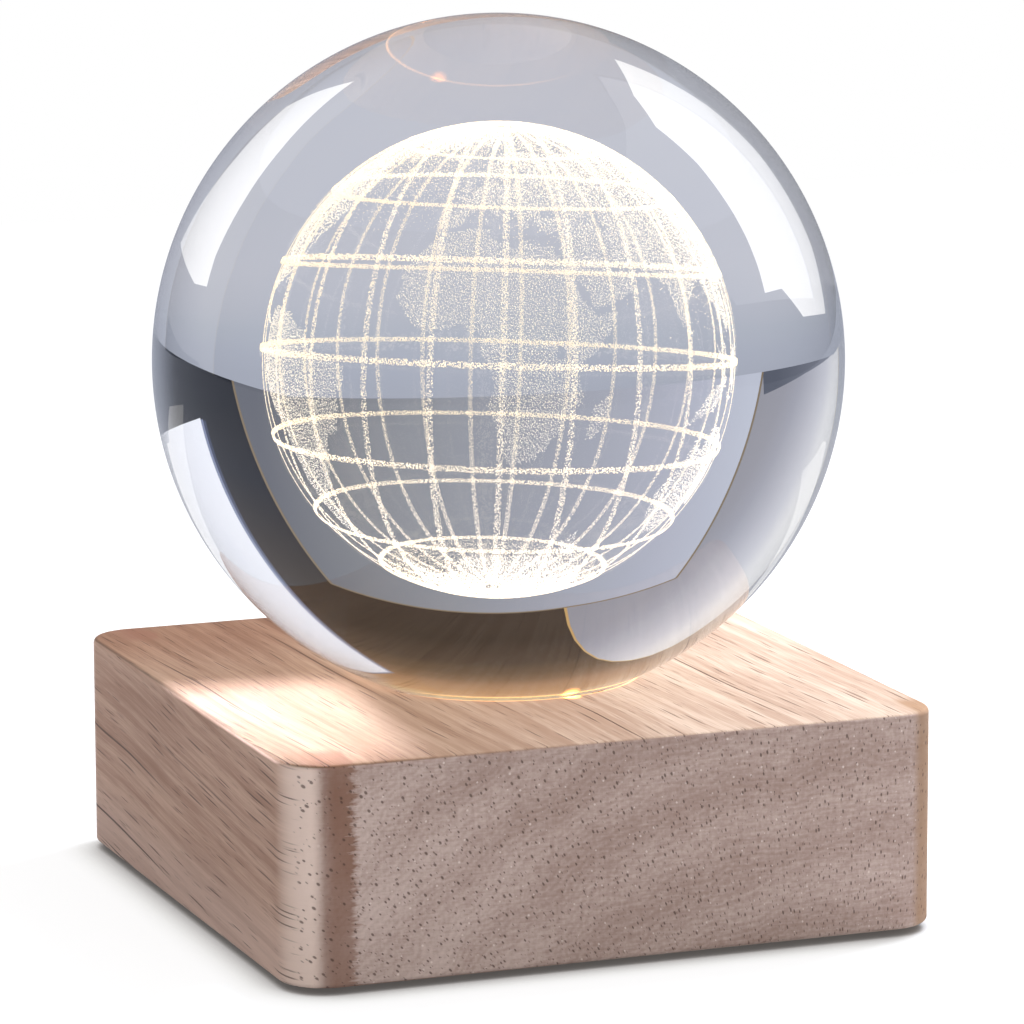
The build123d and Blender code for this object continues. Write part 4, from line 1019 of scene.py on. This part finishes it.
class GLOBEAWARD_OT_graticule(bpy.types.Operator):
    """Engrave the meridians and the parallels"""

    bl_idname = "globe_award.graticule"
    bl_label = "Meridians and parallels"

    def execute(self, context):
        settings = context.scene.globe_award_ball
        meridian_glow = lit_marks("laser_marks_meridians", settings, 0.72, 0.88, "f6eee2")
        meridian_veil = lit_marks("laser_veil_meridians", settings, 0.62, 0.78, "f6eee2", 0.6)
        for name, south, north, seed in (
            ("northern_meridian_marks", PARALLEL_START, 88.0, 3),
            ("southern_meridian_marks", -88.0, PARALLEL_START, 7),
        ):
            strips = self.meridian_strips(settings, south, north)
            marks = scatter_marks(name, strips, settings.line_marks, settings.mark_size, seed,
                                  meridian_glow, meridian_veil)
            self.hand_over(marks, "engraved_meridians")

        wide = math.degrees(settings.line_width / 2 / PARALLEL_RADIUS)
        lines = []
        for step in range(-PARALLELS_EACH_WAY, PARALLELS_EACH_WAY + 1):
            latitude = PARALLEL_START + step * PARALLEL_SPACING
            lines.append([(latitude - wide, 0.3), (latitude, 1.0), (latitude + wide, 0.3)])
        parallel_glow = lit_marks("laser_marks_parallels", settings, 0.8, 0.97, "fbf1de")
        parallel_veil = lit_marks("laser_veil_parallels", settings, 0.77, 0.93, "fbf1de", 0.85)
        marks = scatter_marks("parallel_marks", self.rings(lines), settings.line_marks,
                              settings.mark_size * 1.15, 13, parallel_glow, parallel_veil)
        self.hand_over(marks, "engraved_parallels")

        # Marks fill the polar caps, and a haze of extra marks paints the light that gathers at the
        # upper right of the globe
        zones = [[(low, None), (low + 3, None)] for low in range(-90, 90, 3)]
        haze_veil = lit_marks("laser_veil_caps", settings, 0.84, 1.0, "fdf4e2", 0.95)
        marks = scatter_marks("polar_glow_marks", self.rings(zones), settings.glow_marks,
                              settings.mark_size, 19, parallel_glow, haze_veil)
        self.hand_over(marks, "engraved_parallels")
        return {"FINISHED"}

    def meridian_strips(self, settings, south, north):
        """Narrow strips along every meridian between two latitudes, densest along their middle."""
        points, faces, weights = [], [], []
        half = settings.line_width / 2
        for number in range(MERIDIAN_COUNT):
            longitude = MERIDIAN_START + number * 360 / MERIDIAN_COUNT
            side = self.level_side(longitude)
            first = len(points)
            for step in range(MERIDIAN_STEPS + 1):
                latitude = south + (north - south) * step / MERIDIAN_STEPS
                spot = on_globe(latitude, longitude, MERIDIAN_RADIUS)
                # The strips crowd together near the poles
                crowd = max(math.cos(math.radians(latitude)), 0.12)
                weight = 1.0 if abs(latitude) < 60 else 0.55 + 0.9 * crowd
                for sign, share in ((-1, 0.3), (0, 1.0), (1, 0.3)):
                    points.append(self.back_to_sphere(spot + side * sign * half, MERIDIAN_RADIUS))
                    weights.append(weight * share)
            for step in range(MERIDIAN_STEPS):
                for a in (first + 3 * step, first + 3 * step + 1):
                    faces.append((a, a + 1, a + 4, a + 3))
        return points, faces, weights

    def haze(self, spot):
        """How densely marks lie at a place beside the engraved lines, from 0 to 1."""
        out = (spot - ball_centre).normalized()
        south_edge = math.sin(math.radians(PARALLEL_START - PARALLELS_EACH_WAY * PARALLEL_SPACING))
        if out.dot(NORTH) < south_edge:
            return 0.95 + 0.4 * noise.noise(out * 9)
        polar = min(1.0, max(0.0, (out.dot(NORTH) - 0.55) / 0.4))
        gathered = max(0.0, out.dot(GATHERED_LIGHT) - 0.45) / 0.55
        # Bare gaps radiate from the pole between the meridians
        level = (out - NORTH * out.dot(NORTH)).normalized()
        streak = 0.8 + 0.6 * noise.noise(level * 5)
        return 0.85 * streak * max(polar ** 1.3, gathered ** 1.8)

    def level_side(self, longitude):
        """The direction of east on a meridian."""
        lon = math.radians(longitude)
        return NINETY * math.cos(lon) - PRIME * math.sin(lon)

    def back_to_sphere(self, spot, radius):
        return ball_centre + (spot - ball_centre).normalized() * radius

    def rings(self, bands):
        """Rings of strips between latitudes, each given with its density or None for the haze."""
        points, faces, weights = [], [], []
        for band in bands:
            first, rows = len(points), len(band)
            for step in range(RING_STEPS):
                for latitude, share in band:
                    points.append(on_globe(latitude, step * 360 / RING_STEPS, PARALLEL_RADIUS))
                    weights.append(self.haze(points[-1]) if share is None else share)
            for step in range(RING_STEPS):
                here, there = first + rows * step, first + rows * ((step + 1) % RING_STEPS)
                for row in range(rows - 1):
                    faces.append((here + row, there + row, there + row + 1, here + row + 1))
        return points, faces, weights

    def hand_over(self, marks, node_name):
        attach(marks, "ball")
        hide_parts(node_name)


class GLOBEAWARD_OT_lands(bpy.types.Operator):
    """Engrave the land areas"""

    bl_idname = "globe_award.lands"
    bl_label = "Land areas"

    def execute(self, context):
        settings = context.scene.globe_award_ball
        finish = (lit_marks("laser_marks_land", settings, 0.8, 0.8, "f2f1f0"),
                  lit_marks("laser_veil_land", settings, 0.6, 0.6, "f2f1f0", 0.8))
        old_area = self.engrave(settings, "old_world_marks", OLD_WORLD, None, 23, finish)
        self.engrave(settings, "new_world_marks", NEW_WORLD, old_area, 29, finish)
        return {"FINISHED"}

    def engrave(self, settings, name, outlines, like_area, seed, finish):
        """Shade some lands with marks, as densely as the lands of an area that is given."""
        # Without a seed the noise that roughens the coasts starts from the clock
        noise.seed_set(seed)
        shapes = [flat_outline(outline) for outline in outlines]
        seas = [flat_outline(outline) for outline in INLAND_SEAS]
        points, faces = [], []
        area = 0.0
        for row in range(int(2 * LAND_REACH / LAND_CELL)):
            low = -LAND_REACH + row * LAND_CELL
            middle, high = low + LAND_CELL / 2, low + LAND_CELL
            columns = max(8, int(360 * math.cos(math.radians(middle)) / LAND_CELL))
            width = 360 / columns
            for column in range(columns):
                west = -180 + column * width
                spot = own_direction(middle, west + width / 2)
                waver = noise.noise_vector(spot * COAST_FINENESS) * COAST_WAVER
                spot = (spot + waver).normalized()
                in_sea = any(inside(sea, spot) for sea in seas)
                if in_sea or not any(inside(shape, spot) for shape in shapes):
                    continue
                faces.append(range(len(points), len(points) + 4))
                east = west + width
                for lat, lon in ((low, west), (low, east), (high, east), (high, west)):
                    points.append(on_globe(lat, lon, LAND_RADIUS))
                area += width * math.cos(math.radians(low)) * LAND_CELL
        count = settings.land_marks
        if like_area:
            count = min(count, int(count * area / like_area))
        land = scatter_marks(name, (points, faces, [1.0] * len(points)), count,
                             settings.mark_size * 1.3, seed, *finish)
        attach(land, "ball")
        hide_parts("engraved_land")
        return area


class GLOBEAWARD_OT_wooden_base(bpy.types.Operator):
    """Give the wooden base its smooth edges and its grain"""

    bl_idname = "globe_award.wooden_base"
    bl_label = "Wooden base"

    def execute(self, context):
        settings = context.scene.globe_award_base
        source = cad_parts["wood_base"]
        shape = bmesh.new()
        shape.from_mesh(source.data)
        bmesh.ops.remove_doubles(shape, verts=shape.verts, dist=SAME_PLACE)
        for edge in shape.edges:
            edge.smooth = edge.is_manifold and edge.calc_face_angle(0) < SHARP_ANGLE
        block = smooth_object("wooden_block", shape)
        block.data.materials.append(sanded_rubberwood(settings))
        weighted = block.modifiers.new("even_shading", "WEIGHTED_NORMAL")
        weighted.keep_sharp = True
        weighted.weight = 100
        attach(block, "base")
        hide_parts("wood_base")
        return {"FINISHED"}


class GLOBEAWARD_OT_fittings(bpy.types.Operator):
    """Give the lamp, the boards, the panel and the feet their materials"""

    bl_idname = "globe_award.fittings"
    bl_label = "Lamp, boards, panel and feet"

    def execute(self, context):
        black = moulded_plastic("moulded_black_abs", "1c1c1e", "26262a", 0.5, 0.35, 0.03)
        zinc = plated_metal("zinc_plated_steel", "b9bcc2", "8f9298", 0.34)
        finishes = {
            "light_window": clear_acrylic(),
            "reflector_cup": moulded_plastic(
                "moulded_white_abs", "f2f1ec", "e6e4dc", 0.38, 0.5, 0.01),
            "lamp_board": solder_mask("white_solder_mask", "eceeea", "dadcd2"),
            "lamp_chips": lit_phosphor(),
            "lamp_board_screws": zinc, "cover_screws": zinc,
            "board_screws": zinc, "panel_screws": zinc,
            "bottom_cover": black, "rear_panel": black, "socket_tongue": black,
            "control_board": solder_mask("green_solder_mask", "1c5c34", "3b8a54"),
            "driver_chip": moulded_plastic("moulded_epoxy", "191919", "232323", 0.55, 0.15, 0.01),
            "chip_resistors": moulded_plastic(
                "fired_resistor_film", "1b1b1d", "35353a", 0.3, 0.4, 0.01),
            "socket_shell": plated_metal("nickel_plated_steel", "d4d4d2", "b5b5b4", 0.22),
            "switch_body": plated_metal("tinned_steel", "c9cacc", "a8aaad", 0.36),
            "switch_knob": moulded_plastic("moulded_black_nylon", "232326", "2e2e32", 0.42, 0.2),
            "live_wire": moulded_plastic("red_pvc_sleeve", "b02018", "c43a2c", 0.3, 1.2, 0.01),
            "return_wire": moulded_plastic("black_pvc_sleeve", "1d1d1f", "2b2b2e", 0.3, 1.2, 0.01),
            "solder_joints": plated_metal("bright_solder", "d9dbde", "b4b7bc", 0.2, 0.4),
        }
        rubber = moulded_plastic("moulded_rubber", "222222", "313131", 0.75, 0.3, 0.03)
        for corner in ("front_left", "front_right", "rear_left", "rear_right"):
            finishes[corner + "_foot"] = rubber
        for node_name, material in finishes.items():
            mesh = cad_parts[node_name].data
            if mesh.materials:
                for place in range(len(mesh.materials)):
                    mesh.materials[place] = material
            else:
                mesh.materials.append(material)
        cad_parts["light_window"].visible_shadow = False
        return {"FINISHED"}


class GLOBEAWARD_PT_panel(bpy.types.Panel):
    """Lists the steps that build the award"""

    bl_idname = "GLOBEAWARD_PT_panel"
    bl_label = "Globe Award"
    bl_space_type = "VIEW_3D"
    bl_region_type = "UI"
    bl_category = "Globe Award"

    def draw(self, context):
        for step in STEPS:
            self.layout.operator(step.bl_idname)
        for name, group in SETTINGS:
            box = self.layout.box()
            for prop in group.__annotations__:
                box.prop(getattr(context.scene, name), prop)


STEPS = (
    GLOBEAWARD_OT_stage,
    GLOBEAWARD_OT_wooden_base,
    GLOBEAWARD_OT_crystal_ball,
    GLOBEAWARD_OT_graticule,
    GLOBEAWARD_OT_lands,
    GLOBEAWARD_OT_fittings,
)


def register():
    for name, group in SETTINGS:
        bpy.utils.register_class(group)
        setattr(bpy.types.Scene, name, bpy.props.PointerProperty(type=group))
    for step in STEPS:
        bpy.utils.register_class(step)
    bpy.utils.register_class(GLOBEAWARD_PT_panel)


def unregister():
    bpy.utils.unregister_class(GLOBEAWARD_PT_panel)
    for step in reversed(STEPS):
        bpy.utils.unregister_class(step)
    for name, group in reversed(SETTINGS):
        delattr(bpy.types.Scene, name)
        bpy.utils.unregister_class(group)


def main():
    register()
    for step in STEPS:
        group, name = step.bl_idname.split(".")
        getattr(getattr(bpy.ops, group), name)()


if __name__ == "__main__":
    main()
